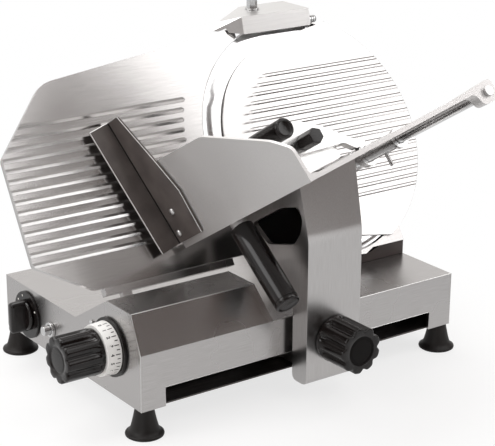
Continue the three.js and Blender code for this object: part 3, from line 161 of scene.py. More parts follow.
# The column is brushed upward, so its streaks run down to the foot
column_aluminium = brushed_metal("column_brushed_aluminium", "bcb9b8", "c9c7c6", 0.29, 0.03, "Z", 0.5, 0.003)
# Small castings are tumbled bright, which scatters more light than a brushed face; the same finish makes the
# bright strips of painted highlight along the edges of the base and the guard
tumbled_casting_and_highlights = brushed_metal("tumbled_casting_and_painted_highlights", "dddcdb", "e6e5e4", 0.4, 0.04, "X", 1.2, 0.005)
# The press arm and its plate are cast and then polished
polished_casting = brushed_metal("polished_casting", "cecdcc", "dfdedd", 0.24, 0.05, "X", 1.0, 0.01)
# Rolled aluminium plate, polished and anodised: clearer reflections than the castings
anodised_plate = brushed_metal("anodised_aluminium_plate", "c0bebd", "cdcbca", 0.18, 0.02, "X", 0.6, 0.003)
# The tray is polished by hand to a soft satin, so its reflections blur and waver a little
tray_aluminium = brushed_metal("polished_tray_aluminium", "dad8d7", "e4e2e1", 0.5, 0.04, "X", 0.6, 0.006,
                               40, 0.5)
# Hardened tool steel, ground and polished until it nearly mirrors
ground_blade = brushed_metal("ground_blade_steel", "d2d2d3", "e6e6e7", 0.13, 0.03, "X", 0.6, 0.005)
# Turned and plated steel of rods and screws
turned_steel = brushed_metal("turned_bright_steel", "c8c8c8", "e2e2e2", 0.18, 0.04, "Y", 0.6, 0.01)
# Cold rolled sheet, left dull
rolled_steel = brushed_metal("dull_rolled_steel", "4b4746", "6a6564", 0.5, 0.08, "X", 1.2, 0.03)
# Sintered bronze of the bushes: golden brown, dull and a little porous
sintered_bronze = brushed_metal("sintered_bronze", "8a6a3c", "ab8a55", 0.45, 0.06, "X", 0.8, 0.03)
# Phenolic knobs and handles, moulded with a glossy skin that dulls in the hand
phenolic = moulded("black_phenolic", "0d0908", "181211", 0.19, 0.05, 0.5, 0.01, 0.42)
# Left matt by its mould: the pressed-in cap of the column's knob; the same matt black makes the painted
# shadow line in the guard's fold
matt_cap_and_shade_line = moulded("matt_black_cap_and_painted_shade", "090706", "100c0b", 0.6, 0.05, 0.5, 0.01, 0.15)
# The hand guard is a satin black moulding; its colour is lifted to brownish grey as painted sheen, the
# reflection of the bright room on its faces
guard_painted_sheen = moulded("satin_guard_painted_sheen", "4f4947", "625b58", 0.3, 0.06, 0.6, 0.01)
# Moulded rubber: black, with a low soft sheen
rubber = moulded("black_rubber", "120e0d", "1c1715", 0.5, 0.08, 0.8, 0.04, 0.35)
# White moulded ABS: even and satin, so the dial's numbers read clearly
dial_plastic = moulded("white_dial_plastic", "eeedeb", "f4f3f1", 0.42, 0.05, 0.6, 0.01)
# Bonded grit of the grinding stone: coarse and without gloss
grit = moulded("grinding_grit", "7d7871", "98928a", 0.9, 0.05, 0.7, 0.2)
# Stoved paint on the motor: dark and half matt
motor_paint = moulded("motor_paint", "3a302e", "463b38", 0.5, 0.06, 0.9, 0.03)

finish_of = {
    "satin_aluminium": cast_aluminium,
    "polished_aluminium": anodised_plate,
    "blade_steel": ground_blade,
    "bright_steel": turned_steel,
    "dark_steel": rolled_steel,
    "bronze": sintered_bronze,
    "black_plastic": phenolic,
    "black_rubber": rubber,
    "white_plastic": dial_plastic,
    "grinding_grit": grit,
    "motor_paint": motor_paint,
}
slot_of = {entry["node"]: entry["material_slot"] for entry in frame["record"]["subparts"]}


WELD_MM = 0.01
FLAT_FACE_DEG = 1
USUAL_EDGE_MM = 0.5
USUAL_EDGE_ANGLE_DEG = 28


def soften(obj, width_mm, angle_deg):
    """Rounds the sharp edges of a solid and shades its curved faces smoothly."""
    weld = obj.modifiers.new("weld", "WELD")
    weld.merge_threshold = WELD_MM * MM
    flat = obj.modifiers.new("flat faces", "DECIMATE")
    flat.decimate_type = "DISSOLVE"
    flat.angle_limit = math.radians(FLAT_FACE_DEG)
    bevel = obj.modifiers.new("edge", "BEVEL")
    bevel.width = width_mm * MM
    bevel.segments = 2
    bevel.limit_method = "ANGLE"
    bevel.angle_limit = math.radians(angle_deg)
    bevel.harden_normals = True
    normals = obj.modifiers.new("normals", "WEIGHTED_NORMAL")
    normals.keep_sharp = True
    for polygon in obj.data.polygons:
        polygon.use_smooth = True


# Nodes whose finish differs from the rest of their slot
own_finish = {
    "carriage_column": column_aluminium, "sharpener_body": tumbled_casting_and_highlights, "press_arm": polished_casting,
    "press_plate": polished_casting, "product_tray": tray_aluminium, "hand_guard": guard_painted_sheen,
}
# The base's gable and the slope in front of it meet their neighbours at a shallow but crisp edge
edge_angle_deg = {"base_housing": 15}
# Edges that are rounder than the usual half millimetre
edge_mm = {
    "base_housing": 0.8, "hand_guard": 0.9, "press_knob": 1.4, "press_arm": 1.2, "product_tray": 1.5,
    "sharpener_body": 0.8,
}
for node_name, node in nodes.items():
    node.data.materials.clear()
    node.data.materials.append(own_finish.get(node_name, finish_of[slot_of[node_name]]))
    soften(node, edge_mm.get(node_name, USUAL_EDGE_MM),
           edge_angle_deg.get(node_name, USUAL_EDGE_ANGLE_DEG))


# Places in millimetres: the faces of the base, the blade's plane and the tray that is turned in it
BASE_LEFT = -221
BASE_RIGHT = 219
BASE_FRONT = -94.5
BASE_BACK = 207.5
BASE_BOTTOM = 31
BASE_TOP = 96
BLADE_FOOT_Y = -17.5
TILT = math.radians(31)
TRAY_CORNER = (129.8, 70.9)
TRAY_TURN = math.radians(13)
BLADE_PLANE = Matrix.Translation((BASE_LEFT * MM, BLADE_FOOT_Y * MM, BASE_TOP * MM)) @ Matrix((
    (1, 0, 0, 0),
    (0, math.sin(TILT), -math.cos(TILT), 0),
    (0, math.cos(TILT), math.sin(TILT), 0),
    (0, 0, 0, 1),
)) @ Matrix.Scale(MM, 4)
TRAY = BLADE_PLANE @ Matrix.Translation((*TRAY_CORNER, 0)) @ Matrix.Rotation(TRAY_TURN, 4, "Z")
# A turned piece is drawn along its own Z; these lay it along +X, -X or -Y
ALONG_X = Matrix(((0, 0, 1, 0), (1, 0, 0, 0), (0, 1, 0, 0), (0, 0, 0, 1)))
TO_LEFT = Matrix(((0, 0, -1, 0), (1, 0, 0, 0), (0, -1, 0, 0), (0, 0, 0, 1)))
TO_FRONT = Matrix(((1, 0, 0, 0), (0, 0, -1, 0), (0, 1, 0, 0), (0, 0, 0, 1)))


def stand_at(x, y, z, turn=None):
    """A frame in millimetres at a place of the machine, turned if asked."""
    place = Matrix.Translation((x * MM, y * MM, z * MM))
    return place @ (turn or Matrix.Identity(4)) @ Matrix.Scale(MM, 4)


def make_piece(name, points, faces, place, material, smooth=True):
    """One mesh object from points in millimetres, laid in a frame."""
    mesh = bpy.data.meshes.new(name)
    mesh.from_pydata([place @ Vector(point) for point in points], [], faces)
    mesh.validate()
    body = bmesh.new()
    body.from_mesh(mesh)
    bmesh.ops.recalc_face_normals(body, faces=body.faces)
    body.to_mesh(mesh)
    body.free()
    for polygon in mesh.polygons:
        polygon.use_smooth = smooth
    mesh.materials.append(material)
    piece = bpy.data.objects.new(name, mesh)
    bpy.context.scene.collection.objects.link(piece)
    return piece


def joined(parts):
    """Several (points, faces) shells as one."""
    points, faces = [], []
    for part_points, part_faces in parts:
        faces += [[len(points) + corner for corner in face] for face in part_faces]
        points += part_points
    return points, faces


def loft(loops):
    """A closed skin over a stack of loops that have equally many points."""
    count = len(loops[0])
    points = [point for loop in loops for point in loop]
    faces = []
    for row in range(len(loops) - 1):
        for corner in range(count):
            across = (corner + 1) % count
            faces.append([row * count + corner, row * count + across,
                          (row + 1) * count + across, (row + 1) * count + corner])
    faces.append(list(range(count))[::-1])
    faces.append([(len(loops) - 1) * count + corner for corner in range(count)])
    return points, faces


def turned(profile, sides=64):
    """A skin turned about Z from [radius, z] points, its ends closed."""
    angles = [2 * math.pi * side / sides for side in range(sides)]
    return loft([[(radius * math.cos(angle), radius * math.sin(angle), z) for angle in angles]
                 for radius, z in profile])


def bead(places, radius):
    """A thin square bead along a row of places."""
    loops = []
    for step, place in enumerate(places):
        before, after = Vector(places[max(step - 1, 0)]), Vector(places[min(step + 1, len(places) - 1)])
        along = (after - before).normalized()
        across = along.cross(Vector((0, 0, 1)) if abs(along.z) < 0.9 else Vector((1, 0, 0))).normalized()
        up = along.cross(across)
        loops.append([tuple(Vector(place) + radius * (side * across + rise * up))
                      for side, rise in ((1, 0), (0, 1), (-1, 0), (0, -1))])
    return loft(loops)


def crisp(piece, angle_deg):
    """Smooth shading that keeps the edges sharper than this angle."""
    piece.data.set_sharp_from_angle(angle=math.radians(angle_deg))
    return piece


def dress(piece, body, slot, *stands_for):
    """Ties a piece to the body that it moves with and to the nodes that it stands for; the slot is not used.
    """
    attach(piece, body)
    if stands_for:
        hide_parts(*stands_for)


# Moulded hand knob: nine flutes that run out before the collar, and a ringed end face
KNOB_LOBES = 9
KNOB_SIDES = 144
FLUTE_SHARE = 0.15
FLUTE_SHARPNESS = 2.4
FLUTE_START_SHARE = 0.09
FLUTE_RUN_SHARE = 0.16
COLLAR_CHAMFER = 0.8
COLLAR_LENGTH = 5
COLLAR_SHARES = (0.93, 0.98)
KNOB_BODY_SHARES = (0.12, 0.2, 0.3, 0.42, 0.6, 0.8, 0.93)
KNOB_NOSE = ((1.6, 0), (0.7, 0.5), (0.2, 1.2), (0, 2.2))
CAP_SHARES = (0.64, 0.61, 0.58, 0.54, 0.5, 0.46, 0.02)
CAP_DROPS = (0, 0.5, 1.3, 1.3, 0.7, 0.6, 0.6)


def fluted_knob(radius, length):
    """A knob along Z, from its collar at the origin to its end face."""
    def ring(z, reach, depth_share):
        loop = []
        for side in range(KNOB_SIDES):
            angle = 2 * math.pi * side / KNOB_SIDES
            groove = (0.5 + 0.5 * math.cos(KNOB_LOBES * angle)) ** FLUTE_SHARPNESS
            here = reach * (1 - depth_share * groove)
            loop.append((here * math.cos(angle), here * math.sin(angle), z))
        return loop

    loops = [ring(0, COLLAR_SHARES[0] * radius, 0), ring(COLLAR_CHAMFER, COLLAR_SHARES[1] * radius, 0),
             ring(COLLAR_LENGTH, radius, 0)]
    for share in KNOB_BODY_SHARES:
        depth = FLUTE_SHARE * min(1, (share - FLUTE_START_SHARE) / FLUTE_RUN_SHARE) ** 0.5
        loops.append(ring(share * length, radius, depth))
    for drop, cut_back in KNOB_NOSE:
        loops.append(ring(length - drop, radius - cut_back, FLUTE_SHARE))
    for share, drop in zip(CAP_SHARES, CAP_DROPS):
        loops.append(ring(length - drop, share * radius, 0))
    return loft(loops)


def add_knob(name, body, node, place, radius, length, cap=phenolic):
    """A fluted knob that stands for a node, its end face in a finish of its own if asked."""
    knob = crisp(make_piece(name, *fluted_knob(radius, length), place, phenolic), 50)
    knob.data.materials.append(cap)
    cap_rings = len(CAP_SHARES) - 1
    for polygon in knob.data.polygons[-cap_rings * KNOB_SIDES - 1:]:
        polygon.material_index = 1
    dress(knob, body, "black_plastic", node)


# The thickness knob sits on the dial's centre, and the column's knob in front of the column
DIAL_CENTRE = (-34.5, 87)
THICKNESS_KNOB_X = -242
THICKNESS_KNOB_RADIUS = 26
THICKNESS_KNOB_LENGTH = 46
COLUMN_KNOB_PLACE = (13, -128.8, 74)
COLUMN_KNOB_RADIUS = 27
COLUMN_KNOB_LENGTH = 48
add_knob("thickness_hand_knob", "thickness_dial", "thickness_knob",
         stand_at(THICKNESS_KNOB_X, *DIAL_CENTRE, TO_LEFT), THICKNESS_KNOB_RADIUS, THICKNESS_KNOB_LENGTH)
add_knob("column_hand_knob", "carriage_knob", "column_knob",
         stand_at(*COLUMN_KNOB_PLACE, TO_FRONT), COLUMN_KNOB_RADIUS, COLUMN_KNOB_LENGTH, matt_cap_and_shade_line)


# Printed scale of the dial drum: numbers and ticks laid on its cone
DRUM_BACK = (-224.7, 30)
DRUM_NOSE = (-241.7, 28.6)
SCALE_START_DEG = 95
SCALE_STEPS = 14
STEP_DEG = 19.6
INK_RISE = 0.06
TICK_BACK = -227
TICK_WIDTH = 1.0
LONG_TICK = 5.4
SHORT_TICK = 3.6
NUMBER_MIDDLE = -236.2
NUMBER_HEIGHT = 5.6
NUMBER_BOLDNESS = 0.2


def on_drum(angle, x):
    """The place on the drum's cone at an angle round it and at an X."""
    share = (DRUM_BACK[0] - x) / (DRUM_BACK[0] - DRUM_NOSE[0])
    reach = DRUM_BACK[1] + share * (DRUM_NOSE[1] - DRUM_BACK[1]) + INK_RISE
    return (x, DIAL_CENTRE[0] + reach * math.cos(angle), DIAL_CENTRE[1] + reach * math.sin(angle))


def tick(angle, x_back, length, width):
    """One printed line along the drum's cone."""
    half = width / 2 / DRUM_BACK[1]
    corners = [(angle - half, x_back), (angle + half, x_back),
               (angle + half, x_back - length), (angle - half, x_back - length)]
    return [on_drum(*corner) for corner in corners], [[0, 1, 2, 3]]


def number(value, angle, x_middle, height):
    """One printed number, bent round the drum's cone."""
    curve = bpy.data.curves.new("scale_number", "FONT")
    curve.body = str(value)
    curve.size = height
    curve.align_x = "CENTER"
    curve.align_y = "CENTER"
    curve.offset = NUMBER_BOLDNESS
    text = bpy.data.objects.new("scale_number", curve)
    bpy.context.scene.collection.objects.link(text)
    bpy.context.view_layer.update()
    mesh = text.to_mesh()
    points = [on_drum(angle + vertex.co.x / DRUM_BACK[1], x_middle + vertex.co.y)
              for vertex in mesh.vertices]
    faces = [list(polygon.vertices) for polygon in mesh.polygons]
    text.to_mesh_clear()
    bpy.data.objects.remove(text)
    bpy.data.curves.remove(curve)
    return points, faces


scale_parts = []
for step in range(SCALE_STEPS * 2 + 1):
    angle = math.radians(SCALE_START_DEG + step * STEP_DEG / 2)
    numbered = step % 2 == 0
    scale_parts.append(tick(angle, TICK_BACK, LONG_TICK if numbered else SHORT_TICK, TICK_WIDTH))
    if numbered:
        scale_parts.append(number(step // 2, angle, NUMBER_MIDDLE, NUMBER_HEIGHT))
# Printing ink on the drum: flat black, a little duller than the plastic under it
scale_ink = moulded("printed_scale_ink", "0f0c0b", "161210", 0.5, 0.04, 0.4, 0.002)
scale = make_piece("dial_scale", *joined(scale_parts), Matrix.Scale(MM, 4), scale_ink, smooth=False)
dress(scale, "thickness_dial", "black_plastic")


# Bell-shaped rubber feet with a rolled rim
FOOT_PROFILE = [
    (0.01, 0), (20.2, 0), (21.2, 0.7), (21.5, 1.9), (21.1, 3.2), (19.6, 4.2), (17.8, 5.2), (16.3, 7.4),
    (15.2, 10.5), (14.1, 14.5), (13.0, 19), (11.9, 24), (11.1, 28), (10.5, 30.7), (0.01, 30.7),
]
FOOT_INSET = 10
foot_places = [(x, y) for x in (BASE_LEFT + FOOT_INSET, BASE_RIGHT - FOOT_INSET)
               for y in (BASE_FRONT + FOOT_INSET, BASE_BACK - FOOT_INSET)]
for foot_number, (x, y) in enumerate(foot_places, start=1):
    foot = make_piece(f"rubber_foot_{foot_number}", *turned(FOOT_PROFILE), stand_at(x, y, 0), rubber)
    crisp(foot, 40)
    dress(foot, "base", "black_rubber", f"foot_{foot_number}")


# Round handles with a groove before the end cap and a dished end face
def grip_profile(radius, start, length):
    """The outline of a handle from its start on the boss to its dished end."""
    end = start + length
    return [
        (0.01, start), (radius - 3, start), (radius - 0.9, start + 1.2), (radius - 0.5, start + 4),
        (radius - 0.15, start + 0.3 * length), (radius, start + 0.6 * length), (radius - 0.1, end - 8),
        (radius - 0.2, end - 6.2), (radius - 0.9, end - 5.8), (radius - 0.9, end - 5.1),
        (radius - 0.1, end - 4.7), (radius, end - 2.2), (radius - 0.5, end - 0.8), (radius - 1.6, end - 0.1),
        (radius - 2.6, end), (radius - 3.4, end - 0.8), (radius - 4.2, end - 1.1), (0.01, end - 0.7),
    ]


PUSH_GRIP_PLACE = (160, 77.87, 78)
PUSH_GRIP_PITCH = math.radians(23)
PUSH_GRIP_RADIUS = 14.5
PUSH_GRIP_START = 10.3
PUSH_GRIP_LENGTH = 108
PRESS_GRIP_PLACE = (112, 66, 0)
PRESS_GRIP_RADIUS = 12.2
PRESS_GRIP_START = 48.6
PRESS_GRIP_LENGTH = 80
push_place = (BLADE_PLANE @ Matrix.Translation(PUSH_GRIP_PLACE)
              @ Matrix.Rotation(math.radians(90) - PUSH_GRIP_PITCH, 4, "X"))
push_profile = grip_profile(PUSH_GRIP_RADIUS, PUSH_GRIP_START, PUSH_GRIP_LENGTH)
push_grip = crisp(make_piece("push_grip", *turned(push_profile), push_place, phenolic), 50)
dress(push_grip, "carriage", "black_plastic", "push_handle")
press_place = TRAY @ Matrix.Translation(PRESS_GRIP_PLACE)
press_profile = grip_profile(PRESS_GRIP_RADIUS, PRESS_GRIP_START, PRESS_GRIP_LENGTH)
press_grip = crisp(make_piece("press_grip", *turned(press_profile), press_place, phenolic), 50)
dress(press_grip, "meat_press", "black_plastic", "press_handle")


# Blade cover: a flat plate with pressed ribs that fade in on the left and run out at the rim
COVER_CENTRE = (352, 171)
COVER_RADIUS = 126
COVER_WIDE_RADIUS = 157
COVER_SHOULDER_RUN = 70
COVER_SHOULDER = math.acos(COVER_SHOULDER_RUN / COVER_WIDE_RADIUS)
COVER_TOUCH = COVER_SHOULDER + math.acos(COVER_RADIUS / COVER_WIDE_RADIUS)
COVER_BACK = 0.8
COVER_FACE = 3.45
COVER_RIM = 0.5
COVER_END_DROP = 0.5
COVER_END_ROW = 0.6
COVER_END_GAP = 0.02
COVER_ROW_PITCH = 6
COVER_END_ROWS = 8
COVER_LEAST_ROW = 0.05
COVER_RIM_MOST_SHARE = 1 / 8
COVER_RIM_FLAT_SHARE = 1.6
RIB_TOP = 84
RIB_PITCH = 10.5
RIB_LAST = int(2 * RIB_TOP / RIB_PITCH)
RIB_HALF_WIDTH = 2.7
RIB_RISE = 0.62
RIB_FLANK = 1.75
RIB_BORDER = 0.4
RIB_FLANK_SHARES = (0, 0.1, 0.9, 1, 1.15)
RIB_START_RADIUS = 103
RIB_FADE = 24
RIB_FADE_SHARES = (0, 0.08, 0.3, 0.6, 0.88, 1)
RIB_FADE_STEPS = len(RIB_FADE_SHARES) - 1
RIB_LEAST_FADES = 3
RIB_SPANS = 6


def cover_side(u, sign):
    """How far the cover reaches to one side at a height u."""
    shoulder_u = COVER_WIDE_RADIUS * math.sin(COVER_SHOULDER)
    touch_u = COVER_RADIUS * math.sin(COVER_TOUCH)
    touch_x = COVER_RADIUS * math.cos(COVER_TOUCH)
    if sign > 0:
        return math.sqrt(COVER_WIDE_RADIUS ** 2 - u ** 2)
    if abs(u) <= touch_u:
        return -math.sqrt(COVER_RADIUS ** 2 - u ** 2)
    share = (abs(u) - touch_u) / (shoulder_u - touch_u)
    return touch_x + share * (COVER_WIDE_RADIUS * math.cos(COVER_SHOULDER) - touch_x)


def rib_height(u):
    """How far the nearest rib stands up at a height u."""
    nearest = round((RIB_TOP - u) / RIB_PITCH)
    away = abs(u - (RIB_TOP - min(max(nearest, 0), RIB_LAST) * RIB_PITCH))
    share = min(max((RIB_HALF_WIDTH - away) / RIB_FLANK, 0), 1)
    return RIB_RISE * share


def cover_rows():
    """The heights of the cover's rows: close together at the ribs, wider apart above and below them."""
    top = COVER_WIDE_RADIUS * math.sin(COVER_SHOULDER) - COVER_END_GAP
    heights = {top, -top, top - COVER_END_ROW, COVER_END_ROW - top}
    heights.update(side * (top - COVER_ROW_PITCH * step)
                   for step in range(1, COVER_END_ROWS + 1) for side in (-1, 1))
    for index in range(RIB_LAST + 1):
        middle = RIB_TOP - index * RIB_PITCH
        for share in RIB_FLANK_SHARES:
            away = RIB_HALF_WIDTH - RIB_FLANK * share
            heights.update((middle - away, middle + away))
        heights.update((middle - RIB_HALF_WIDTH - RIB_BORDER, middle + RIB_HALF_WIDTH + RIB_BORDER))
    rows = sorted(heights)
    return [rows[0]] + [high for low, high in zip(rows, rows[1:]) if high - low > COVER_LEAST_ROW]


def cover_mesh():
    """The ribbed face row by row, its rim and its flat back."""
    points, faces = [], []
    rows = cover_rows()
    for row, u in enumerate(rows):
        left, right = cover_side(u, -1), cover_side(u, 1)
        rim = min(COVER_RIM, (right - left) * COVER_RIM_MOST_SHARE)
        rim_flat = COVER_RIM_FLAT_SHARE * rim
        start = -math.sqrt(max(RIB_START_RADIUS ** 2 - u ** 2, 0))
        start = max(start, left + 2 * rim + 1)
        lift = rib_height(u) if abs(u) <= RIB_TOP + RIB_HALF_WIDTH else 0
        columns = [(left, -rim), (left + rim, 0), (left + rim_flat, 0)]
        reach = min(RIB_FADE, (right - rim - start) / RIB_LEAST_FADES)
        columns += [(start + reach * step / RIB_FADE_STEPS, lift * share)
                    for step, share in enumerate(RIB_FADE_SHARES)]
        middle = start + reach
        columns += [(middle + (right - rim_flat - middle) * step / RIB_SPANS, lift)
                    for step in range(1, RIB_SPANS + 1)]
        columns += [(right - rim, lift), (right, lift - rim)]
        edge = COVER_END_DROP if row in (0, len(rows) - 1) else 0
        points += [(x, u, COVER_FACE + n - (edge if n >= 0 else 0)) for x, n in columns]
    wide = len(columns)
    for row in range(len(rows) - 1):
        for column in range(wide - 1):
            corner = row * wide + column
            faces.append([corner, corner + 1, corner + wide + 1, corner + wide])
    rim_loop = list(range(wide))
    rim_loop += [row * wide + wide - 1 for row in range(1, len(rows))]
    rim_loop += [(len(rows) - 1) * wide + column for column in range(wide - 2, -1, -1)]
    rim_loop += [row * wide for row in range(len(rows) - 2, 0, -1)]
    base = len(points)
    points += [(points[corner][0], points[corner][1], COVER_BACK) for corner in rim_loop]
    count = len(rim_loop)
    for step in range(count):
        after = (step + 1) % count
        faces.append([rim_loop[step], base + step, base + after, rim_loop[after]])
    faces.append([base + step for step in range(count)])
    return points, faces


cover_place = BLADE_PLANE @ Matrix.Translation((*COVER_CENTRE, 0))
cover = crisp(make_piece("ribbed_blade_cover", *cover_mesh(), cover_place, anodised_plate), 60)
even = cover.modifiers.new("normals", "WEIGHTED_NORMAL")
even.keep_sharp = True
dress(cover, "base", "polished_aluminium", "blade_cover")


# Rounded ends of the gauge plate's ribs
GAUGE_RIB_END = 266
GAUGE_RIB_FIRST = 89
GAUGE_RIB_PITCH = 11.92
GAUGE_RIB_COUNT = 14
GAUGE_RIB_RADIUS = 4.2
GAUGE_RIB_RISE = 1.5
RIB_END_LENGTH = 15
RIB_END_DEPTH = 1
RIB_END_RINGS = 8
RIB_END_SIDES = 12
RIB_END_SWELL_SHARE = 0.35
RIB_END_TIP_SHARE = 0.02


def rib_end(u):
    """A rib's end: it swells a little, then rounds down into the plate."""
    half_angle = math.acos((GAUGE_RIB_RADIUS - GAUGE_RIB_RISE) / GAUGE_RIB_RADIUS)
    loops = []
    for step in range(RIB_END_RINGS + 1):
        along = math.sin(math.pi / 2 * step / RIB_END_RINGS)
        shrink = max(math.cos(math.pi / 2 * step / RIB_END_RINGS), RIB_END_TIP_SHARE)
        shrink *= 1 + RIB_END_SWELL_SHARE * math.sin(math.pi * step / RIB_END_RINGS)
        loop = []
        for side in range(RIB_END_SIDES + 1):
            angle = -half_angle + 2 * half_angle * side / RIB_END_SIDES
            high = GAUGE_RIB_RADIUS * math.cos(angle) - (GAUGE_RIB_RADIUS - GAUGE_RIB_RISE)
            loop.append((GAUGE_RIB_END + along * RIB_END_LENGTH,
                         u + shrink * GAUGE_RIB_RADIUS * math.sin(angle), high * shrink))
        loop += [(x, y, -RIB_END_DEPTH) for x, y, _ in (loop[-1], loop[0])]
        loops.append(loop)
    return loft(loops)


rib_ends = [rib_end(GAUGE_RIB_FIRST + index * GAUGE_RIB_PITCH) for index in range(GAUGE_RIB_COUNT)]
ends = crisp(make_piece("gauge_rib_ends", *joined(rib_ends), BLADE_PLANE, anodised_plate), 70)
dress(ends, "gauge", "polished_aluminium")


# Domed rivets that hold the hand guard to the tray's wall
WALL_TURN = math.radians(3.5)
WALL = TRAY @ Matrix.Rotation(WALL_TURN, 4, "Z") @ ALONG_X
RIVET_PLACES = ((43.55, 31.03), (18.74, 20.7))
RIVET_PROFILE = [(0.01, 0), (1.8, 0), (1.8, -7.1), (4.1, -7.1), (3.9, -7.8), (3.3, -8.5), (2.2, -9),
                 (1.0, -9.25), (0.01, -9.3)]
for rivet_number, (up, out) in enumerate(RIVET_PLACES, start=1):
    dome = crisp(make_piece(f"rivet_dome_{rivet_number}", *turned(RIVET_PROFILE, 32),
                            WALL @ Matrix.Translation((up, out, 0)), tumbled_casting_and_highlights), 50)
    dress(dome, "carriage", "bright_steel", f"guard_rivet_{rivet_number}")


# Painted highlights: bright strips along the guard's edges stand in for the light they catch, and a matt
# black strip in its fold is a painted shadow line
GUARD_OUTER = -6.9
GUARD_NEAR = 10.6
GUARD_FLANGE = 29.4
GUARD_THICKNESS = 2.9
GUARD_ENDS = (8, 166)
GUARD_OUTLINE = ((8, 61.9), (60, 65.8), (102, 53.9), (165.8, 34.1), (165.8, 10.6))
GUARD_BEAD_RADIUS = 0.45
FOLD_RADIUS = 1.0
outer_edge = GUARD_OUTER - GUARD_FLANGE + GUARD_THICKNESS
guard_edges = (
    [(up, GUARD_NEAR, outer_edge) for up in GUARD_ENDS],
    [(GUARD_ENDS[1], GUARD_NEAR, out) for out in (outer_edge, GUARD_OUTER)],
    [(up, out, GUARD_OUTER) for up, out in GUARD_OUTLINE],
)
guard_highlight_beads = [bead(edge, GUARD_BEAD_RADIUS) for edge in guard_edges]
guard_highlights = make_piece("guard_painted_edge_highlights", *joined(guard_highlight_beads), WALL, tumbled_casting_and_highlights, smooth=False)
dress(guard_highlights, "carriage", "black_plastic")
# The fold's matt black strip is a painted shadow line in the concave corner
fold = bead([(up, GUARD_NEAR + FOLD_RADIUS, GUARD_OUTER) for up in GUARD_ENDS], FOLD_RADIUS)
groove = make_piece("guard_fold_painted_shadow", *fold, WALL, matt_cap_and_shade_line, smooth=False)
dress(groove, "carriage", "black_plastic")


# Painted highlights: bright strips along the corners of the base stand in for the light that its edges catch
RIDGE_RIGHT = -61
RIDGE_FOOT_RIGHT = -47
RIDGE_FRONT = -77
RIDGE_TOP = 138
RIDGE_BEAD_RADIUS = 0.4
NOTCH_LEFT = -190
NOTCH_RIGHT = 186
NOTCH_TOP = 53.5
NOTCH_BEAD_RADIUS = 0.3
FRONT_BEAD_RADIUS = 0.45
base_highlight_beads = [
    bead([(RIDGE_RIGHT, RIDGE_FRONT, RIDGE_TOP), (BASE_LEFT, RIDGE_FRONT, RIDGE_TOP),
          (BASE_LEFT, BASE_FRONT, BASE_TOP), (BASE_LEFT, BASE_FRONT, BASE_BOTTOM)], RIDGE_BEAD_RADIUS),
    bead([(RIDGE_FOOT_RIGHT, BASE_FRONT, BASE_TOP), (BASE_RIGHT, BASE_FRONT, BASE_TOP),
          (BASE_RIGHT, BASE_FRONT, BASE_BOTTOM)], FRONT_BEAD_RADIUS),
    bead([(NOTCH_LEFT, BASE_FRONT, BASE_BOTTOM), (NOTCH_LEFT, BASE_FRONT, NOTCH_TOP),
          (NOTCH_RIGHT, BASE_FRONT, NOTCH_TOP), (NOTCH_RIGHT, BASE_FRONT, BASE_BOTTOM)], NOTCH_BEAD_RADIUS),
]
base_edge_highlights = make_piece("base_painted_edge_highlights", *joined(base_highlight_beads), Matrix.Scale(MM, 4), tumbled_casting_and_highlights,
                        smooth=False)
dress(base_edge_highlights, "base", "satin_aluminium")


# Painted shade: a black sheet closes the slanting underside of the column's channel, so that the channel
# looks dark like its shaded inside
SHEET_LEFT = -19.6
SHEET_RIGHT = 42.6
SHEET_EDGE = ((-102, 130.2), (-12.5, 191.5))
SHEET_THICKNESS = 1.2


def splash_sheet():
    """The sheet's skin between its lower edge in front and its upper edge behind."""
    (near_y, near_z), (far_y, far_z) = SHEET_EDGE
    loops = []
    for x in (SHEET_LEFT, SHEET_RIGHT):
        loops.append([(x, near_y, near_z), (x, far_y, far_z), (x, far_y, far_z + SHEET_THICKNESS),
                      (x, near_y, near_z + SHEET_THICKNESS)])
    return loft(loops)


sheet = make_piece("column_painted_shade_sheet", *splash_sheet(), Matrix.Scale(MM, 4), rubber, smooth=False)
dress(sheet, "carriage", "black_rubber")


# Rotary switch: a skirt with a rounded grip across it, and pale position dots on its plate
SWITCH_CENTRE = (154.5, 62)
SWITCH_SKIRT_X = -224.3
SWITCH_SKIRT = [(0.01, 0), (17, 0), (18, 0.8), (18, 2.6), (17.2, 3.7), (15.5, 4.2), (0.01, 4.4)]
GRIP_HALF_WIDTH = 6.5
GRIP_HALF_LENGTH = 19.5
GRIP_CORNER = 5.8
GRIP_LEAST_CORNER = 1
GRIP_CORNER_STEPS = 8
GRIP_SHRINK_AT = ((0, 0), (17.5, 0.5), (19.2, 0.9), (20.4, 1.9), (20.9, 3.2))
DOTS_X = -223.96
DOT_RADIUS = 1.3
DOT_RING_RADIUS = 23.4
DOT_SIDES = 16
DOT_ANGLES_DEG = (-70, -38, -6, 26, 205)


def rounded_bar(half_width, half_height, corner):
    """A loop in X and Y round a bar with rounded corners."""
    loop = []
    for quarter, (side_x, side_y) in enumerate(((1, 1), (-1, 1), (-1, -1), (1, -1))):
        for step in range(GRIP_CORNER_STEPS + 1):
            angle = math.pi / 2 * (quarter + step / GRIP_CORNER_STEPS)
            loop.append((side_x * (half_width - corner) + corner * math.cos(angle),
                         side_y * (half_height - corner) + corner * math.sin(angle)))
    return loop


def grip_bar():
    """The bar across the skirt, drawn in towards its top."""
    loops = []
    for z, shrink in GRIP_SHRINK_AT:
        bar = rounded_bar(GRIP_HALF_WIDTH - shrink, GRIP_HALF_LENGTH - shrink,
                          max(GRIP_CORNER - shrink, GRIP_LEAST_CORNER))
        loops.append([(x, y, z) for x, y in bar])
    return loft(loops)


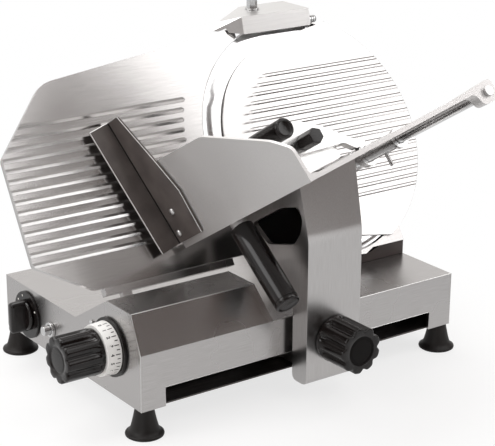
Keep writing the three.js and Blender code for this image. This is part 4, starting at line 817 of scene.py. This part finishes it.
switch_grip = crisp(make_piece("switch_grip", *joined([turned(SWITCH_SKIRT), grip_bar()]),
                               stand_at(SWITCH_SKIRT_X, *SWITCH_CENTRE, TO_LEFT), phenolic), 45)
dress(switch_grip, "switch", "black_plastic", "switch_knob")
dots = []
dot_turns = [turn * 2 * math.pi / DOT_SIDES for turn in range(DOT_SIDES)]
for angle_deg in DOT_ANGLES_DEG:
    angle = math.radians(angle_deg)
    middle = (DOT_RING_RADIUS * math.cos(angle), DOT_RING_RADIUS * math.sin(angle))
    dots.append(([(middle[0] + DOT_RADIUS * math.cos(turn), middle[1] + DOT_RADIUS * math.sin(turn), 0)
                  for turn in dot_turns], [list(range(DOT_SIDES))]))
# Pale printing ink on the switch plate: flat and even
pale_ink = moulded("pale_printing_ink", "d8d4cf", "e4e1dd", 0.5, 0.04, 0.4, 0.002)
switch_dots = make_piece("switch_dots", *joined(dots), stand_at(DOTS_X, *SWITCH_CENTRE, TO_LEFT),
                         pale_ink, smooth=False)
dress(switch_dots, "base", "white_plastic")


# Grooved button that presses the grinding stone to the blade
STONE_BUTTON_PLACE = (397.3, 317, 5)
BUTTON_RADIUS = 4.6
BUTTON_GROOVE_RADIUS = 3.2
BUTTON_GROOVES = 3
BUTTON_GROOVE_START = 0.6
BUTTON_GROOVE_PITCH = 3.3
button_profile = [(0.01, 0), (3.4, 0)]
for index in range(BUTTON_GROOVES):
    start = BUTTON_GROOVE_START + index * BUTTON_GROOVE_PITCH
    button_profile += [(BUTTON_RADIUS, start), (BUTTON_RADIUS, start + 1.9),
                       (BUTTON_GROOVE_RADIUS, start + 2.2), (BUTTON_GROOVE_RADIUS, start + 3)]
button_profile += [(4.4, 10.5), (4.2, 11), (0.01, 11)]
stone_place = BLADE_PLANE @ Matrix.Translation(STONE_BUTTON_PLACE) @ ALONG_X
stone_knob = make_piece("stone_thumb_button", *turned(button_profile, 32), stone_place, turned_steel)
crisp(stone_knob, 40)
dress(stone_knob, "sharpener", "bright_steel", "stone_button")


# Camera at the photograph's viewing angle
CAMERA_LENS_MM = 117.1
CAMERA_SENSOR_MM = 36
CAMERA_PLACE = (-1.0400, -1.4245, 0.7745)
CAMERA_AZIMUTH_DEG = 35.73
CAMERA_ELEVATION_DEG = 18.75
CAMERA_ROLL_DEG = 0.33


def aim(obj, place, azimuth_deg, elevation_deg, roll_deg):
    """Puts an object at a place, looking along an azimuth and down by an elevation."""
    turn = Matrix.Rotation(math.radians(-azimuth_deg), 4, "Z")
    tip = Matrix.Rotation(math.radians(90 - elevation_deg), 4, "X")
    roll = Matrix.Rotation(math.radians(roll_deg), 4, "Z")
    obj.matrix_world = Matrix.Translation(place) @ turn @ tip @ roll


camera_data = bpy.data.cameras.new("camera")
camera_data.lens = CAMERA_LENS_MM
camera_data.sensor_width = CAMERA_SENSOR_MM
camera = bpy.data.objects.new("camera", camera_data)
bpy.context.scene.collection.objects.link(camera)
aim(camera, CAMERA_PLACE, CAMERA_AZIMUTH_DEG, CAMERA_ELEVATION_DEG, CAMERA_ROLL_DEG)
bpy.context.scene.camera = camera


# Pale floor that fades into the white backdrop
FLOOR_SIZE = 12


def make_floor():
    bpy.ops.mesh.primitive_plane_add(size=FLOOR_SIZE, location=(0, 0, 0))
    floor = bpy.context.object
    floor.name = "floor"
    material, tree, output = new_material("white_floor")
    place = add_node(tree, "ShaderNodeTexCoord")
    far = add_node(tree, "ShaderNodeVectorMath", {"operation": "LENGTH"},
                   {"Vector": place.outputs["Object"]})
    fade = add_node(tree, "ShaderNodeMapRange", {"From Min": 0.26, "From Max": 0.44, "To Min": 0.74},
                    {"Value": far.outputs["Value"]})
    paths = add_node(tree, "ShaderNodeLightPath")
    seen = add_node(tree, "ShaderNodeMath", {"operation": "MAXIMUM"})
    tree.links.new(paths.outputs["Is Camera Ray"], seen.inputs[0])
    tree.links.new(paths.outputs["Is Glossy Ray"], seen.inputs[1])
    share = add_node(tree, "ShaderNodeMath", {"operation": "MULTIPLY"})
    tree.links.new(seen.outputs["Value"], share.inputs[0])
    tree.links.new(fade.outputs["Result"], share.inputs[1])
    matt = add_node(tree, "ShaderNodeBsdfDiffuse", {"Color": linear("f7f6f5")})
    mirrored = add_node(tree, "ShaderNodeMapRange", {"To Min": 1.0, "To Max": 0.77},
                        {"Value": paths.outputs["Is Glossy Ray"]})
    glow = add_node(tree, "ShaderNodeEmission", {"Color": linear("ffffff")},
                    {"Strength": mirrored.outputs["Result"]})
    mix = add_node(tree, "ShaderNodeMixShader", None, {"Fac": share.outputs["Value"]})
    tree.links.new(matt.outputs["BSDF"], mix.inputs[1])
    tree.links.new(glow.outputs["Emission"], mix.inputs[2])
    tree.links.new(mix.outputs["Shader"], output.inputs["Surface"])
    floor.data.materials.append(material)


make_floor()


# Softboxes that the leaning plates, the castings and their bright edges mirror, with large ones
# overhead and at the left; each has its name, place, target, size in metres and power in watts
SOFTBOXES = (
    ("front_softbox", (1.137, -0.737, 1.115), (0.166, 0.081, 0.266), (0.69, 1.0), 4.9),
    ("bevel_softbox", (0.45, -0.5, 1.4), (-0.01, 0.08, 0.26), (0.7, 0.4), 1.1),
    ("casting_softbox", (0.96, -0.99, 0.665), (0.14, 0.05, 0.37), (0.3, 0.17), 0.45),
    ("low_softbox", (1.11, -0.9, 0.3), (0.17, 0.0, 0.12), (0.2, 0.2), 0.25),
    ("rib_softbox", (0.45, -1.2, 0.13), (-0.1, -0.02, 0.18), (0.3, 0.2), 0.38),
    ("ring_softbox", (0.14, -0.95, 1.21), (0.0, 0.05, 0.3), (0.5, 0.85), 2.5),
    ("edge_softbox", (-1.5, -0.95, 0.62), (-0.05, -0.05, 0.15), (0.5, 0.8), 3.5),
    ("overhead_softbox", (-0.2, 0.65, 2.0), (0, 0, 0.1), (1.5, 1.2), 20),
    ("left_softbox", (-2.0, 0.2, 1.5), (0, 0, 0.2), (1.2, 1.2), 14),
)


def area_light(name, place, target, size, power):
    """A rectangular softbox that faces a target."""
    data = bpy.data.lights.new(name, "AREA")
    data.shape = "RECTANGLE"
    data.size, data.size_y = size
    data.energy = power
    lamp = bpy.data.objects.new(name, data)
    lamp.location = place
    lamp.rotation_euler = (Vector(target) - Vector(place)).to_track_quat("-Z", "Y").to_euler()
    bpy.context.scene.collection.objects.link(lamp)


for softbox in SOFTBOXES:
    area_light(*softbox)


# World: a white backdrop behind the machine, a paler ceiling and a dim brown room in front of it
CEILING_SHARE = 0.5


def make_world():
    world = bpy.data.worlds.new("studio")
    bpy.context.scene.world = world
    world.use_nodes = True
    tree = world.node_tree
    tree.nodes.clear()
    output = add_node(tree, "ShaderNodeOutputWorld")
    place = add_node(tree, "ShaderNodeTexCoord")
    split = add_node(tree, "ShaderNodeSeparateXYZ", None, {"Vector": place.outputs["Generated"]})
    ceiling = add_node(tree, "ShaderNodeMapRange",
                       {"interpolation_type": "SMOOTHSTEP", "From Min": 0.54, "From Max": 0.86},
                       {"Value": split.outputs["Z"]})
    back = add_node(tree, "ShaderNodeMapRange",
                    {"interpolation_type": "SMOOTHSTEP", "From Min": 0.0, "From Max": 0.45},
                    {"Value": split.outputs["Y"]})
    dimmed = add_node(tree, "ShaderNodeMapRange", {"To Max": CEILING_SHARE},
                      {"Value": ceiling.outputs["Result"]})
    bright = add_node(tree, "ShaderNodeMath", {"operation": "MAXIMUM"})
    tree.links.new(dimmed.outputs["Result"], bright.inputs[0])
    tree.links.new(back.outputs["Result"], bright.inputs[1])
    room = add_node(tree, "ShaderNodeMix", {"data_type": "RGBA"}, {"Factor": bright.outputs["Value"]})
    room.inputs["A"].default_value = linear("544843")
    room.inputs["B"].default_value = linear("f4f2f0")
    paths = add_node(tree, "ShaderNodeLightPath")
    studio = add_node(tree, "ShaderNodeBackground", {"Strength": 1.04}, {"Color": room.outputs["Result"]})
    white = add_node(tree, "ShaderNodeBackground", {"Color": linear("ffffff"), "Strength": 1.0})
    mix = add_node(tree, "ShaderNodeMixShader", None, {"Fac": paths.outputs["Is Camera Ray"]})
    tree.links.new(studio.outputs["Background"], mix.inputs[1])
    tree.links.new(white.outputs["Background"], mix.inputs[2])
    tree.links.new(mix.outputs["Shader"], output.inputs["Surface"])


make_world()
bpy.context.scene.view_settings.view_transform = "Standard"
